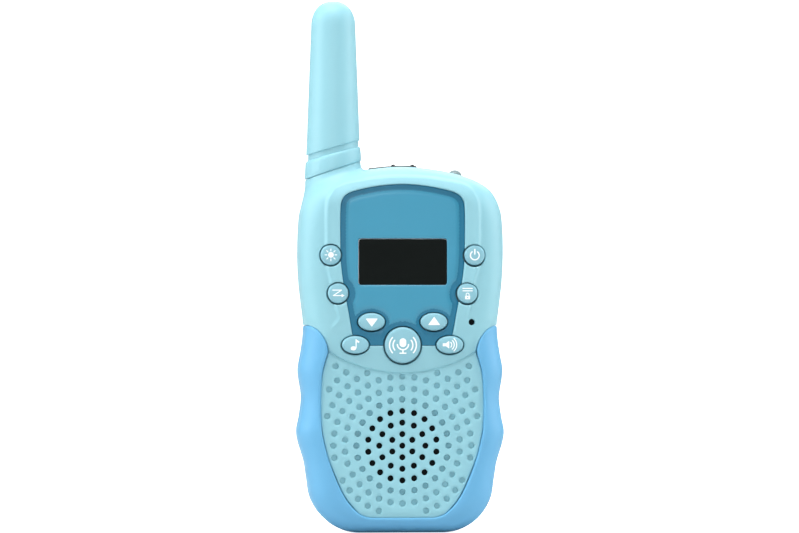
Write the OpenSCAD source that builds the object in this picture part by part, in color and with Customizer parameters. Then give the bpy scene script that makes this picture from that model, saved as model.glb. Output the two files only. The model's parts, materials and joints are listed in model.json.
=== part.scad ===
// Toy two-way radio: a hand-held case with a fixed antenna, nine front keys,
// a display, a speaker, four AAA cells behind a hinged door and a slide-off belt clip.
// X is to the right seen from the front, the front faces -Y, +Z is up.
// The origin is the centre of the flat bottom.

/* [Case] */
// Depth of the case from front face to rear face
case_depth = 26; // [25.6:0.1:26.6]
// Radius that rounds the front and rear edges
edge_r = 7; // [6.6:0.1:7.2]
// Wall thickness of the two shells
wall = 2; // [1.8:0.1:2.1]
// Thickness of the wrap-round grip frame
grip_t = 1.8; // [1.6:0.1:1.9]
// How far the speaker panel sits behind the front face
panel_drop = 1; // [0.7:0.1:1.1]
// How far the display surround stands proud at its top
surround_rise = 0.6; // [0.4:0.1:0.8]

/* [Antenna] */
// Radius of the antenna just below its rounded tip
antenna_tip_r = 6.25; // [6:0.05:6.4]
// Radius of the antenna at the case
antenna_root_r = 8; // [7.8:0.05:8.1]
// Height of the antenna tip above the base
antenna_top = 151.5; // [148:0.5:156]
// Sideways place of the antenna axis
antenna_x = -18.9; // [-19.1:0.1:-18.7]
// Slope of the seam between antenna and case
seam_slope = 18.5; // [17:0.5:19]

/* [Keys] */
// Inward travel of every key
key_travel = 0.7; // [0.4:0.1:0.7]
// Radius of the large talk key
talk_r = 5.1; // [4.9:0.1:5.2]
// Radius of the four small round keys
small_r = 2.9; // [2.8:0.1:3.0]
// Half width of the four oval keys
oval_a = 3.8; // [3.6:0.1:3.8]
// Half height of the four oval keys
oval_b = 2.5; // [2.4:0.1:2.6]

/* [Speaker] */
// Radius of the loudspeaker
speaker_r = 14.25; // [13.8:0.05:14.3]
// Radius of each sound hole
sound_hole_r = 0.88; // [0.8:0.02:0.95]
// Spacing of the rings of sound holes
ring_pitch = 3.27; // [3.2:0.01:3.3]

/* [Battery] */
// Radius of an AAA cell
cell_r = 5.25; // [5.1:0.05:5.25]
// Length of an AAA cell over its button
cell_len = 44.5; // [44:0.1:44.5]
// Thickness of the battery door
door_t = 1.3; // [1.2:0.05:1.35]

/* [Sockets] */
// Radius of the earphone socket's bore
jack_bore_r = 1.3; // [1.28:0.01:1.35]
// Radius of the torch lamp
torch_r = 2.05; // [1.9:0.05:2.1]

/* [Hidden] */
$fn = 48;

// Depth planes, all along Y
front_y = -case_depth / 2;
rear_y = case_depth / 2;
round_y = case_depth / 2 - edge_r;
panel_y = front_y + panel_drop;
panel_back_y = front_y + wall + 0.7;
lens_t = 1.4;
lens_back_y = front_y + lens_t;
lens_backing_y = -10.2;
board_front_y = -4.8;
board_t = 1.6;
board_back_y = board_front_y + board_t;
key_top_y = -14.0;
flange_y = -10.0;
dome_top_y = -7.4;
mat_y = board_front_y - 0.8;
gap = 0.1;

// Colours
cyan = [0.62, 0.85, 0.91];
blue = [0.47, 0.75, 0.92];
teal = [0.29, 0.61, 0.73];
ink = [0.1, 0.12, 0.12];
steel = [0.75, 0.76, 0.78];

// ---------- outlines ----------

// Right half of the case outline seen from the front, from the bottom centre to the top centre:
// flat foot, round corner, two finger waves, a waist, the straight upper side and the crown.
half_case = [[0, -0.1], [12.5, -0.1], [18.3, 1.5], [22.6, 4.8], [25.5, 9.6], [26.5, 15.2], [27.3, 20.2],
    [28.9, 25.5], [29.35, 29], [28.6, 33], [28, 38.5], [28.8, 44], [28.9, 47], [28.1, 51.4],
    [27.5, 56], [27.45, 60], [28.1, 65.5], [28.8, 72], [29.1, 80], [28.9, 87], [28.2, 92],
    [26, 96.6], [22.6, 99.3], [17.9, 101.3], [12.4, 102.7], [5.5, 103.7], [0, 104]];
case_mid = 52;

// Right half of the front window in the grip frame, from the foot up to the outer side
half_window = [[7, 4.2], [9.6, 4.4], [11.8, 5.2], [13.6, 6.8], [15.9, 9.6], [17.7, 12.9],
    [19.6, 17.4], [21.2, 21.6], [22.4, 26.5], [23.1, 31], [23.4, 38], [22.9, 44.5], [22, 48.4],
    [21.1, 51.4], [21.9, 54.4], [23.5, 56.9], [25.2, 58.2], [27.4, 58.9], [40, 59.2]];

// Right half of the rear window
half_rear_window = [[14, 4.4], [17.5, 5.2], [20.6, 7.6], [22.6, 11], [23.2, 15], [23.2, 51.4],
    [23.7, 55], [24.6, 57.4], [25.8, 58.5], [27.4, 58.9], [40, 59.2]];

// Right half of the display lens, from the bottom edge up
half_lens = [[11.5, 53.1], [13.6, 53.4], [14.1, 55.5], [15.3, 62], [16.5, 68.5], [17.5, 75.8],
    [17.7, 81], [17.7, 91.5], [17.1, 94.6], [15.4, 96.3], [12, 97.4], [6, 98.5], [0, 98.9]];

// Right half of the raised surround's ridge
half_surround = [[17.3, 56.5], [17.8, 61], [18.7, 64.6], [20.4, 72.5], [21.3, 77], [21.4, 92],
    [20.3, 96.2], [17.8, 98.7], [12, 100], [6, 100.8], [0, 101]];

function mirrored(half) = concat(half, [for (i = [len(half) - 1:-1:0])
    if (half[i][0] > 0) [-half[i][0], half[i][1]]]);

function spline(a, b, c, d, t) = 0.5 * (2 * b + (c - a) * t + (2 * a - 5 * b + 4 * c - d) * t * t
    + (3 * b - a - 3 * c + d) * t * t * t);

function at(list, i) = list[(i + len(list)) % len(list)];

// Closed smooth curve through all points, with so many steps per point
function smooth(pts, steps) = [for (i = [0:len(pts) - 1]) for (s = [0:steps - 1])
    spline(at(pts, i - 1), at(pts, i), at(pts, i + 1), at(pts, i + 2), s / steps)];

// Every point moved inward, square to the curve
function inset(pts, d) = [for (i = [0:len(pts) - 1])
    let (t = at(pts, i + 1) - at(pts, i - 1))
    pts[i] + d * [-t[1], t[0]] / norm(t)];

case_curve = smooth(concat(half_case, [for (i = [len(half_case) - 2:-1:1])
    [-half_case[i][0], half_case[i][1]]]), 2);
rough_curve = [for (i = [0:2:len(case_curve) - 1]) case_curve[i]];

// ---------- helpers ----------

// A 2D shape in the XZ plane made solid between two depths
module along_y(y0, y1) {
    translate([0, y1, 0]) rotate([90, 0, 0]) linear_extrude(y1 - y0) children();
}

// A round bar along Y at (x, z)
module bar_y(x, z, r, y0, y1) {
    translate([x, y0, z]) rotate([-90, 0, 0]) cylinder(r = r, h = y1 - y0);
}

// A box given by its lowest and highest corners
module box(low, high) {
    translate(low) cube(high - low);
}

// Solid through rings; each level is [depth, inset]; ends are closed round a middle point
module loft(curve, levels) {
    n = len(curve);
    m = len(levels);
    rings = [for (l = levels) for (p = inset(curve, l[1])) [p[0], l[0], p[1]]];
    ends = [[0, levels[0][0], case_mid], [0, levels[m - 1][0], case_mid]];
    bands = [for (k = [0:m - 2]) for (i = [0:n - 1]) let (j = (i + 1) % n, a = k * n, b = a + n)
        each [[a + i, a + j, b + j], [a + i, b + j, b + i]]];
    caps = [for (i = [0:n - 1]) let (j = (i + 1) % n)
        each [[n * m, j, i], [n * m + 1, (m - 1) * n + i, (m - 1) * n + j]]];
    polyhedron(points = concat(rings, ends), faces = concat(bands, caps), convexity = 8);
}

// Rings of a rounded half: straight from start to the rounding, then out to the flat face.
// dir is -1 for the front half and 1 for the rear half; d shrinks it all round;
// r is how far the rounding reaches in depth and side_r how far it reaches sideways.
module half_loft(curve, dir, start, d, r, side_r) {
    levels = concat([[start, d]], [for (a = [0, 30, 55, 90])
        [dir * (round_y + r * sin(a)), d + side_r * (1 - cos(a))]]);
    if (dir > 0) loft(curve, levels);
    else loft(curve, [for (i = [len(levels) - 1:-1:0]) levels[i]]);
}

// Body of the case between parting plane and face, shrunk by d all round
module half_body(dir, d) {
    half_loft(case_curve, dir, 0, d, edge_r - d, edge_r - d);
}

// The hollow inside one half; deep is the depth of its flat end
module half_hollow(dir, d, deep) {
    half_loft(rough_curve, dir, -dir, d, deep - round_y, edge_r - d);
}

// The U-shaped region that the grip frame covers, seen from the front
module grip_zone(half) {
    outer = 40;
    left = [for (i = [len(half) - 1:-1:0]) [-half[i][0], half[i][1]]];
    difference() {
        polygon(concat([[-outer, -outer], [outer, -outer]],
            [[outer, half[len(half) - 1][1]], [-outer, half[len(half) - 1][1]]]));
        polygon(concat(half, [[outer, outer * 2], [-outer, outer * 2]], left));
    }
}

// Round wire through points; side is a direction square to most of its runs
module wire(path, r, side) {
    sides = 8;
    n = len(path) - 1;
    pts = [for (i = [0:n])
        let (run = path[min(i + 1, n)] - path[max(i - 1, 0)], v = cross(run, side), u = cross(v, run))
        for (s = [0:sides - 1]) let (b = 360 * s / sides)
        path[i] + r * (cos(b) * u / norm(u) + sin(b) * v / norm(v))];
    tube(pts, n, sides);
}

// Closed tube through n + 1 rings of points
module tube(pts, n, sides) {
    sleeve = [for (k = [0:n - 1]) for (s = [0:sides - 1])
        let (t = (s + 1) % sides, a = k * sides, b = a + sides)
        each [[a + s, a + t, b + t], [a + s, b + t, b + s]]];
    caps = concat([for (s = [1:sides - 2]) [0, s + 1, s]],
        [for (s = [1:sides - 2]) [n * sides, n * sides + s, n * sides + s + 1]]);
    polyhedron(points = pts, faces = concat(sleeve, caps), convexity = 8);
}

// Coil of round wire about Z, widening from r0 to r1
module coil(r0, r1, height, turns, wire_r) {
    sides = 6;
    per_turn = 14;
    n = round(turns * per_turn);
    pts = [for (k = [0:n]) let (a = 360 * turns * k / n, r = r0 + (r1 - r0) * k / n)
        for (s = [0:sides - 1]) let (b = 360 * s / sides)
        [(r + wire_r * cos(b)) * cos(a), (r + wire_r * cos(b)) * sin(a),
            height * k / n + wire_r * sin(b)]];
    tube(pts, n, sides);
}

// ---------- keys ----------

// [x, z] of each key
talk_at = [0, 53.3];
call_at = [-13.4, 53.4];
monitor_at = [13.4, 53.4];
down_at = [-8.84, 59.9];
up_at = [8.84, 59.9];
scan_at = [-18.35, 68];
menu_at = [18.35, 68];
lamp_at = [-20.4, 78.8];
power_at = [20.4, 78.8];
round_keys = [scan_at, menu_at, lamp_at, power_at];
oval_keys = [call_at, monitor_at, down_at, up_at];
all_keys = concat([talk_at], round_keys, oval_keys);
key_gap = 0.34;
stem_r = 2.3;
flange = 0.8;
flange_t = 0.8;
dome_wall = 0.8;

module oval(a, b) {
    polygon([for (i = [0:47]) [a * cos(i * 7.5), b * sin(i * 7.5)]]);
}

// Holes for all keys between two depths
module key_holes(y0, y1) {
    bar_y(talk_at[0], talk_at[1], talk_r + key_gap + 0.08, y0, y1);
    for (k = round_keys) bar_y(k[0], k[1], small_r + key_gap, y0, y1);
    for (k = oval_keys) translate([k[0], 0, k[1]]) along_y(y0, y1) oval(oval_a + key_gap, oval_b + key_gap);
}

// A round key: domed cap, retaining flange and stem
module round_key(place, r) {
    rise = 0.35;
    color(cyan) translate([place[0], 0, place[1]]) rotate([90, 0, 0]) rotate_extrude()
        polygon([[0, dome_wall - dome_top_y], [stem_r, dome_wall - dome_top_y],
            [stem_r, -flange_y - flange_t], [r + flange, -flange_y - flange_t],
            [r + flange, -flange_y], [r, -flange_y],
            [r, -key_top_y - rise], [r - 0.15, -key_top_y - 0.12], [r - 0.5, -key_top_y],
            [0, -key_top_y]]);
}

// An oval key of the same build
module oval_key(place) {
    step = 0.35;
    color(cyan) translate([place[0], 0, place[1]]) {
        along_y(key_top_y + step - gap, flange_y) oval(oval_a, oval_b);
        along_y(key_top_y, key_top_y + step) oval(oval_a - step, oval_b - step);
        along_y(flange_y, flange_y + flange_t) oval(oval_a + flange, oval_b + flange);
        bar_y(0, 0, stem_r, flange_y + flange_t - gap, dome_top_y - dome_wall);
    }
}

module talk_key() { round_key(talk_at, talk_r); }
module call_key() { oval_key(call_at); }
module monitor_key() { oval_key(monitor_at); }
module down_key() { oval_key(down_at); }
module up_key() { oval_key(up_at); }
module scan_key() { round_key(scan_at, small_r); }
module menu_key() { round_key(menu_at, small_r); }
module lamp_key() { round_key(lamp_at, small_r); }
module power_key() { round_key(power_at, small_r); }

// ---------- fixings and places shared by several parts ----------

case_screw_at = [[-24, 72.5], [24, 72.5], [-12, 6.9], [12, 6.9]];
board_screw_at = [[-21.5, 85.6], [21.5, 88], [-21, 49.5], [21, 49.5]];
speaker_at = [0, 24.8];
speaker_screw_x = 16.9;
clamp_y = -7.5;
mic_at = [19.6, 59.8];
mic_hole_r = 0.9;
mic_boot_r = 3.5;
boss_r = 2.2;
board_boss_r = 2;
pilot_r = 1.05;
shank_r = 0.95;
head_seat_y = 4;
head_r = 1.8;
head_h = 1.2;

window_w = 25.2;
window_h = 13.2;
window_z = 76.9;
window_r = 0.4;

torch_x = 15.85;
jack_x = 1.2;
jack_top = 102.9;
jack_bottom = 93.5;
nose_r = 2.6;
pocket_z = 102.95;
cover_axis = [-8.4, 103.45];
flap_half_w = 3.5;
flap_start = -2.4;
flap_end = 4.7;

cell_pitch = 10.7;
cell_y = rear_y - door_t - gap - cell_r;
bay_half_w = 21.45;
bay_low = 12.2;
bay_high = 60.7;
bay_wall = 1.2;
bay_floor_y = cell_y - cell_r - gap;
door_half_w = 21.9;
door_low = 12.6;
door_high = 62.6;
tab_high = 67.5;
tab_half_w = 5.5;
door_screw_z = 64.6;
rail_low = 88;
rail_y = 16.2;
slide = 0.15;
tongue_half = 6.45;
tongue_y = 14.05;
tongue_t = 1;
neck_half = 4.45;
hinge_at = [rear_y - 1.15, 10.75];
knuckle_r = 1.15;
knuckle_half = 16.5;
hinge_pin_r = 0.6;
hinge_bore_r = 0.66;
hinge_pin_half = 18.4;

// ---------- antenna ----------

// Cutter that holds everything above the slanted seam through (antenna_x, z)
module above_slant(z, slope) {
    translate([antenna_x, 0, z]) rotate([0, -slope, 0]) translate([-20, -20, 0]) cube([40, 40, 80]);
}

seam_z = 103.1;
groove_z = 108.7;
groove_r = 7.2;
groove_slope = 16;
spigot_r = 5.9;
core_r = 3.5;
core_bore_r = core_r + gap;
core_flange_r = 6.4;
core_low = 90;
spigot_top = 108;

function antenna_r(z) = antenna_tip_r + (146 - z) * (antenna_root_r - antenna_tip_r) / 46;

// The case's share of the antenna: a stub up to the seam and a spigot inside the sleeve
module antenna_stub() {
    spigot_low = 95;
    difference() {
        translate([antenna_x, 0, 89]) cylinder(r = antenna_root_r, h = 30);
        above_slant(seam_z, seam_slope);
    }
    translate([antenna_x, 0, spigot_low]) cylinder(r = spigot_r, h = spigot_top - spigot_low);
}

// Room for the flanged core inside the case
module core_hollow() {
    translate([antenna_x, 0, core_low - gap]) cylinder(r = core_flange_r + gap, h = 2.7);
    translate([antenna_x, 0, 80]) cylinder(r = core_bore_r, h = 40);
}

module antenna_sleeve() {
    tip_round = 5.4;
    color(cyan) difference() {
        translate([antenna_x, 0, 0]) rotate_extrude() polygon(concat(
            [[0, 94], [antenna_r(94), 94]],
            [for (a = [0:15:75]) [antenna_tip_r * cos(a), antenna_top - tip_round * (1 - sin(a))]],
            [[0, antenna_top]]));
        difference() {
            translate([antenna_x, 0, 80]) cylinder(r = 20, h = 40);
            above_slant(seam_z + 0.05, seam_slope);
        }
        translate([antenna_x, 0, 80]) cylinder(r = spigot_r + gap, h = spigot_top + 0.4 - 80);
        translate([antenna_x, 0, 100]) cylinder(r = 4, h = 45);
        translate([antenna_x, 0, groove_z]) rotate([0, -groove_slope, 0]) difference() {
            cylinder(r = 12, h = 1.8, center = true);
            cylinder(r = groove_r, h = 2.4, center = true);
        }
    }
}

module antenna_core() {
    color("ivory") translate([antenna_x, 0, core_low]) {
        cylinder(r = core_flange_r, h = 2.5);
        cylinder(r = core_r, h = 20.5);
        cylinder(r = 1.9, h = 54);
    }
}

module antenna_coil() {
    color([0.8, 0.5, 0.25]) translate([antenna_x, 0, 112]) coil(2.45, 2.45, 29, 12, 0.4);
}

module antenna_lead() {
    color([0.8, 0.5, 0.25]) wire([[antenna_x + 3, 0, core_low - 0.1], [antenna_x + 3, 0, 86.5],
        [antenna_x + 6.5, -1.5, 84.5], [antenna_x + 6.5, board_back_y, 84.5]], 0.4, [1, 1, 0]);
}

// ---------- shells ----------

// The raised surround: its face leans back so that it fades out at its foot
module surround() {
    foot_z = half_surround[0][1];
    lean = atan(surround_rise / (half_surround[len(half_surround) - 1][1] - foot_z));
    intersection() {
        half_body(-1, -surround_rise);
        translate([0, front_y, foot_z]) rotate([lean, 0, 0]) translate([0, -front_y, -foot_z])
            along_y(front_y, front_y + 3) polygon(smooth(mirrored(half_surround), 2));
    }
}

smile_r = 38.6;
smile_z = 84.1;

// The recessed speaker panel is everything in the window under the smile-shaped step
module panel_recess() {
    along_y(front_y - 1, panel_y) difference() {
        translate([-30, -5]) square([60, 58]);
        translate([0, smile_z]) circle(r = smile_r, $fn = 96);
    }
}

// Places of the sound holes and dimples in ring k
function ring_at(k) = k == 0 ? [[0, 0]]
    : [for (i = [0:6 * k - 1]) ring_pitch * k * [cos(90 + 60 * i / k), sin(90 + 60 * i / k)]];

waist_z = 51.4;

// Half width of the plain panel at height z, with a margin to the grip frame
function panel_half(z) = lookup(z, [for (p = half_window) if (p[1] <= waist_z) [p[1], p[0] - 1.4]]);

module sound_holes() {
    for (k = [0:3]) for (p = ring_at(k))
        bar_y(p[0], speaker_at[1] + p[1], sound_hole_r, panel_y - 1, panel_back_y + 1);
}

module dimples() {
    depth = 0.7;
    lowest = 7.2;
    clear = 0.9;
    for (k = [4:9]) for (p = ring_at(k)) let (z = speaker_at[1] + p[1])
        if (z > lowest && abs(p[0]) < panel_half(z) && norm([p[0], z - smile_z]) > smile_r + clear)
            bar_y(p[0], z, sound_hole_r, panel_y - 1, panel_y + depth);
}

// A boss starts inside the front wall, which lies further back under the grip frame
function boss_root(z) = z > 60 ? -11.4 : panel_back_y - 0.1;

module front_case() {
    color(cyan) difference() {
        union() {
            difference() {
                union() {
                    difference() {
                        half_body(-1, 0);
                        along_y(-20, 1) grip_zone(half_window);
                    }
                    half_body(-1, grip_t + gap);
                    surround();
                }
                // hollow: thin wall above the grip, deeper under it
                intersection() {
                    half_hollow(-1, wall, -front_y - wall);
                    box([-40, -20, 60.5], [40, 2, 120]);
                }
                half_hollow(-1, grip_t + wall, -panel_back_y);
            }
            // thicker wall behind the lens seat
            along_y(lens_back_y - 0.3, lens_backing_y)
                polygon(mirrored([for (p = half_lens) [p[0] * 1.06, p[1]]]));
            intersection() {
                antenna_stub();
                box([-40, -20, 80], [0, 0, 120]);
            }
            for (p = case_screw_at) bar_y(p[0], p[1], boss_r, boss_root(p[1]), 0);
            for (p = board_screw_at) bar_y(p[0], p[1], board_boss_r, boss_root(p[1]), board_front_y);
            // speaker ring and clamp-screw bosses
            difference() {
                bar_y(speaker_at[0], speaker_at[1], speaker_r + 1.5, panel_back_y - 0.5, clamp_y - gap);
                bar_y(speaker_at[0], speaker_at[1], speaker_r + 0.2, panel_back_y - 2, clamp_y + 1);
            }
            for (s = [-1, 1])
                bar_y(s * speaker_screw_x, speaker_at[1], 1.7, panel_back_y - 0.5, clamp_y - gap);
        }
        panel_recess();
        sound_holes();
        dimples();
        // lens seat and display window
        along_y(-20, lens_back_y) polygon(smooth(mirrored(half_lens), 2));
        along_y(-15, -8) translate([0, window_z]) square([window_w + 1, window_h + 1], center = true);
        key_holes(-20, flange_y);
        bar_y(mic_at[0], mic_at[1], mic_hole_r, -15, -8);
        bar_y(mic_at[0], mic_at[1], mic_boot_r + gap, -11, -8);
        core_hollow();
        for (p = case_screw_at) bar_y(p[0], p[1], pilot_r, -8.6, 1);
        for (p = board_screw_at) bar_y(p[0], p[1], pilot_r, -9.6, 1);
        for (s = [-1, 1]) bar_y(s * speaker_screw_x, speaker_at[1], 0.85, -11, -6);
        crown_openings();
    }
}

// Torch hole, earphone nose hole and the pocket for the rubber cover, in the crown
module crown_openings() {
    low = 95;
    high = 115;
    rim_low = 102.1;
    translate([torch_x, 0, low]) cylinder(r = torch_r + gap, h = high - low);
    translate([torch_x, 0, rim_low]) cylinder(r = torch_r + 1, h = high - rim_low);
    translate([jack_x, 0, low]) cylinder(r = nose_r + gap, h = high - low);
    box([cover_axis[0] - 0.75, -flap_half_w - 0.2, pocket_z], [flap_end + 0.5, flap_half_w + 0.2, high]);
}

// The door seen from behind: panel, hinge strip and screw tab, grown by a clearance
module door_outline(grow) {
    translate([-door_half_w - grow, door_low - grow])
        square([2 * (door_half_w + grow), door_high - door_low + 2 * grow]);
    translate([-knuckle_half - grow, hinge_at[1]])
        square([2 * (knuckle_half + grow), 10]);
    translate([-tab_half_w - grow, door_high - 1])
        square([2 * (tab_half_w + grow), tab_high - door_high + 1 + grow]);
}

module rear_case() {
    rail_half = 8.6;
    play = 0.15;
    color(cyan) difference() {
        union() {
            difference() {
                half_body(1, 0);
                along_y(-1, 20) grip_zone(half_rear_window);
            }
            half_body(1, grip_t + gap);
            box([-rail_half, rear_y - 1, rail_low], [rail_half, rail_y, 99]);
            intersection() {
                antenna_stub();
                box([-40, 0, 80], [0, 20, 120]);
            }
        }
        // upper hollow, leaving its bosses
        difference() {
            intersection() {
                half_hollow(1, wall, rear_y - wall);
                box([-40, -2, bay_high + bay_wall + 0.4], [40, 20, 120]);
            }
            for (p = [case_screw_at[0], case_screw_at[1]]) bar_y(p[0], p[1], boss_r, 0, 20);
            bar_y(0, door_screw_z, 2.4, 4.5, 20);
            box([-tab_half_w - 1.5, rear_y - door_t - 1.8, 60], [tab_half_w + 1.5, 20, tab_high + 1.5]);
            antenna_stub();
            translate([antenna_x, 0, 100]) cylinder(r = antenna_root_r - 0.5, h = 10);
        }
        // lower hollow round the battery bay
        difference() {
            half_hollow(1, grip_t + wall, rear_y - 3.7);
            box([-40, -2, bay_high + bay_wall], [40, 20, 120]);
            box([-bay_half_w - bay_wall, 0, bay_low - bay_wall],
                [bay_half_w + bay_wall, 20, bay_high + bay_wall]);
            for (p = [case_screw_at[2], case_screw_at[3]]) bar_y(p[0], p[1], boss_r, 0, 20);
        }
        box([-bay_half_w, bay_floor_y, bay_low], [bay_half_w, 20, bay_high]);
        along_y(rear_y - door_t - 0.05, 20) door_outline(play);
        // hinge channel and the two blind pin holes beside it
        translate([-knuckle_half - play, hinge_at[0], hinge_at[1]]) rotate([0, 90, 0])
            cylinder(r = knuckle_r + play, h = 2 * (knuckle_half + play));
        box([-knuckle_half - play, hinge_at[0], hinge_at[1] - knuckle_r - play],
            [knuckle_half + play, 20, hinge_at[1]]);
        translate([-hinge_pin_half - 2 * play, hinge_at[0], hinge_at[1]]) rotate([0, 90, 0])
            cylinder(r = hinge_bore_r, h = 2 * (hinge_pin_half + 2 * play));
        bar_y(0, door_screw_z, 1.2, 5.5, 20);
        for (p = case_screw_at) {
            bar_y(p[0], p[1], 1.15, -1, 20);
            bar_y(p[0], p[1], head_r + 0.1, head_seat_y, 20);
        }
        core_hollow();
        crown_openings();
        // T-slot for the belt clip, open at the top
        box([-tongue_half - slide, tongue_y - slide, rail_low + 1.5],
            [tongue_half + slide, tongue_y + tongue_t + slide, 100]);
        box([-neck_half - slide, tongue_y - slide, rail_low + 1.5],
            [neck_half + slide, rail_y + 1, 100]);
    }
}

module grip_frame() {
    color(blue) difference() {
        union() {
            intersection() {
                half_body(-1, 0);
                along_y(-20, 0) grip_zone(half_window);
            }
            intersection() {
                half_body(1, 0);
                along_y(0, 20) grip_zone(half_rear_window);
            }
        }
        half_body(-1, grip_t);
        half_body(1, grip_t);
        // flat foot
        box([-40, -20, -5], [40, 20, 0]);
    }
}

// ---------- display ----------

module display_lens() {
    color(teal) difference() {
        along_y(front_y, lens_back_y) polygon(inset(smooth(mirrored(half_lens), 2), 0.12));
        key_holes(-20, 0);
    }
}

module display_glass() {
    color(ink) box([-14, -10.1, 68.4], [14, -8.4, 85.4]);
}

module display_holder() {
    color("white") difference() {
        box([-14.5, -8.3, 67.2], [14.5, board_front_y, 86.6]);
        box([-13.2, -9, 70.8], [13.2, -5.6, 85.2]);
        box([-13.6, -9, 68.2], [13.6, -4, 70]);
    }
}

module backlight() {
    color("honeydew") box([-13, -8, 71], [13, -5.7, 85]);
}

module zebra_strip() {
    color("pink") box([-13, -8.4, 68.4], [13, board_front_y, 69.8]);
}

// ---------- keypad ----------

module keypad_mat() {
    color([0.85, 0.88, 0.88]) difference() {
        union() {
            box([-18.2, mat_y, 47.2], [18.2, board_front_y, 66]);
            for (s = [-1, 1]) box([s > 0 ? 15 : -23.4, mat_y, 63], [s > 0 ? 23.4 : -15, board_front_y, 83.2]);
            for (p = all_keys) bar_y(p[0], p[1], 2.4, dome_top_y, board_front_y);
        }
        for (p = all_keys) bar_y(p[0], p[1], 1.7, dome_top_y + dome_wall, 0);
        for (p = case_screw_at) bar_y(p[0], p[1], boss_r + 0.3, -12, 0);
        bar_y(board_screw_at[0][0], board_screw_at[0][1], board_boss_r + 0.3, -12, 0);
    }
}

module carbon_pills() {
    color(ink) for (p = all_keys) bar_y(p[0], p[1], 1.4, dome_top_y + dome_wall, dome_top_y + 1.3);
}

// ---------- electronics ----------

module main_board() {
    color([0.1, 0.4, 0.25]) difference() {
        along_y(board_front_y, board_back_y) polygon([[-19, 46], [19, 46], [23.2, 49], [23.6, 62],
            [23.6, 91], [17.5, 98], [-10.4, 98], [-10.4, 88.4], [-23.6, 88.4], [-23.6, 62], [-23.2, 49]]);
        for (p = board_screw_at) bar_y(p[0], p[1], pilot_r + 0.1, -8, 0);
        for (p = case_screw_at) bar_y(p[0], p[1], boss_r + 0.3, -8, 0);
    }
}

module shield_can() {
    color(steel) difference() {
        box([-9, board_back_y, 68], [9, 0.2, 84]);
        box([-8.7, board_back_y - 1, 68.3], [8.7, -0.1, 83.7]);
    }
}

module control_chip() {
    color(ink) box([-5, board_back_y, 71], [4, board_back_y + 1.2, 80]);
}

module amplifier_chip() {
    color(ink) box([12, board_back_y, 66], [16, board_back_y + 1.5, 71]);
}

module crystal() {
    color(steel) box([12, board_back_y, 76], [17, board_back_y + 2.2, 79.5]);
}

module capacitors() {
    color([0.2, 0.22, 0.3]) for (x = [-14, 14]) bar_y(x, x < 0 ? 78 : 84.5, 2.5, board_back_y, 2.6);
}

// A pan-head screw: shank toward -Y, head seated at y = seat
module screw(p, seat, tip, shank, head, height) {
    color(steel) difference() {
        union() {
            bar_y(p[0], p[1], shank, tip, seat);
            bar_y(p[0], p[1], head, seat, seat + height);
        }
        for (a = [0, 90]) translate([p[0], seat + height, p[1]]) rotate([0, a, 0])
            cube([head * 1.3, 1.2, 0.4], center = true);
    }
}

module board_screws() {
    for (p = board_screw_at) screw(p, board_back_y, -9.2, shank_r, head_r, head_h);
}

module case_screws() {
    for (p = case_screw_at) screw(p, head_seat_y, -8, shank_r, head_r, head_h);
}

module speaker_screws() {
    for (s = [-1, 1]) screw([s * speaker_screw_x, speaker_at[1]], clamp_y, -10, 0.8, 3.1, 0.9);
}

module door_screw() {
    screw([0, door_screw_z], rear_y - 0.9, 8.4, shank_r, head_r, 0.8);
}

// ---------- speaker and microphone ----------

// A turned shape whose axis runs along Y at the speaker; profile is [radius, depth behind y0]
module speaker_turning(y0, profile) {
    translate([speaker_at[0], y0, speaker_at[1]]) rotate([-90, 0, 0]) rotate_extrude() polygon(profile);
}

speaker_front_y = -9.9;

module speaker_frame() {
    color(steel) speaker_turning(speaker_front_y, [[12.4, 0], [speaker_r, 0], [speaker_r, 2.4],
        [0, 2.4], [0, 1.95], [4.5, 1.95], [12.4, 0.55]]);
}

module speaker_cone() {
    color([0.15, 0.15, 0.16]) speaker_turning(speaker_front_y, [[12.2, 0.05], [12.2, 0.3],
        [4.5, 1.75], [3.5, 1.2], [0, 0.85], [0, 0.6], [3.6, 0.95], [4.5, 1.5]]);
}

module speaker_magnet() {
    color(steel) speaker_turning(speaker_front_y + 2.4, [[0, 0], [7.5, 0], [7.5, 3.2], [6.9, 3.5], [0, 3.5]]);
}

module speaker_cloth() {
    color(ink) bar_y(speaker_at[0], speaker_at[1], 12, panel_back_y + 0.05, panel_back_y + 0.3);
}

module speaker_wires() {
    color("firebrick") for (x = [-2, 2])
        wire([[x, -7.5, 35], [x, -6.2, 35], [x, -2.4, 42], [x, -2.2, 48], [x, board_back_y, 48]], 0.4,
            [1, 0, 0]);
}

module microphone() {
    color(steel) {
        bar_y(mic_at[0], mic_at[1], 2.85, -10.05, -7.9);
        for (x = [-1, 1]) bar_y(mic_at[0] + x, mic_at[1], 0.25, -8, board_front_y);
    }
}

module mic_boot() {
    color(ink) difference() {
        bar_y(mic_at[0], mic_at[1], mic_boot_r, -10.95, -8.3);
        bar_y(mic_at[0], mic_at[1], 2.9, -10.1, -8);
        bar_y(mic_at[0], mic_at[1], 0.9, -12, -9);
    }
}

// ---------- torch and earphone socket ----------

module torch_lamp() {
    color([0.85, 0.9, 0.9, 0.8]) translate([torch_x, 0, 0]) {
        translate([0, 0, 97]) cylinder(r = torch_r, h = 4.3);
        translate([0, 0, 101.3]) sphere(r = torch_r);
        translate([0, 0, 96.2]) cylinder(r = torch_r + 0.4, h = 0.9);
    }
}

module torch_leads() {
    color(steel) for (s = [-1, 1])
        wire([[torch_x + s * 1.2, 0, 96.2], [torch_x + s * 1.2, 0, 93.5],
            [torch_x + s * 1.2, board_back_y, 91.5]], 0.25, [1, 0, 0]);
}

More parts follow.
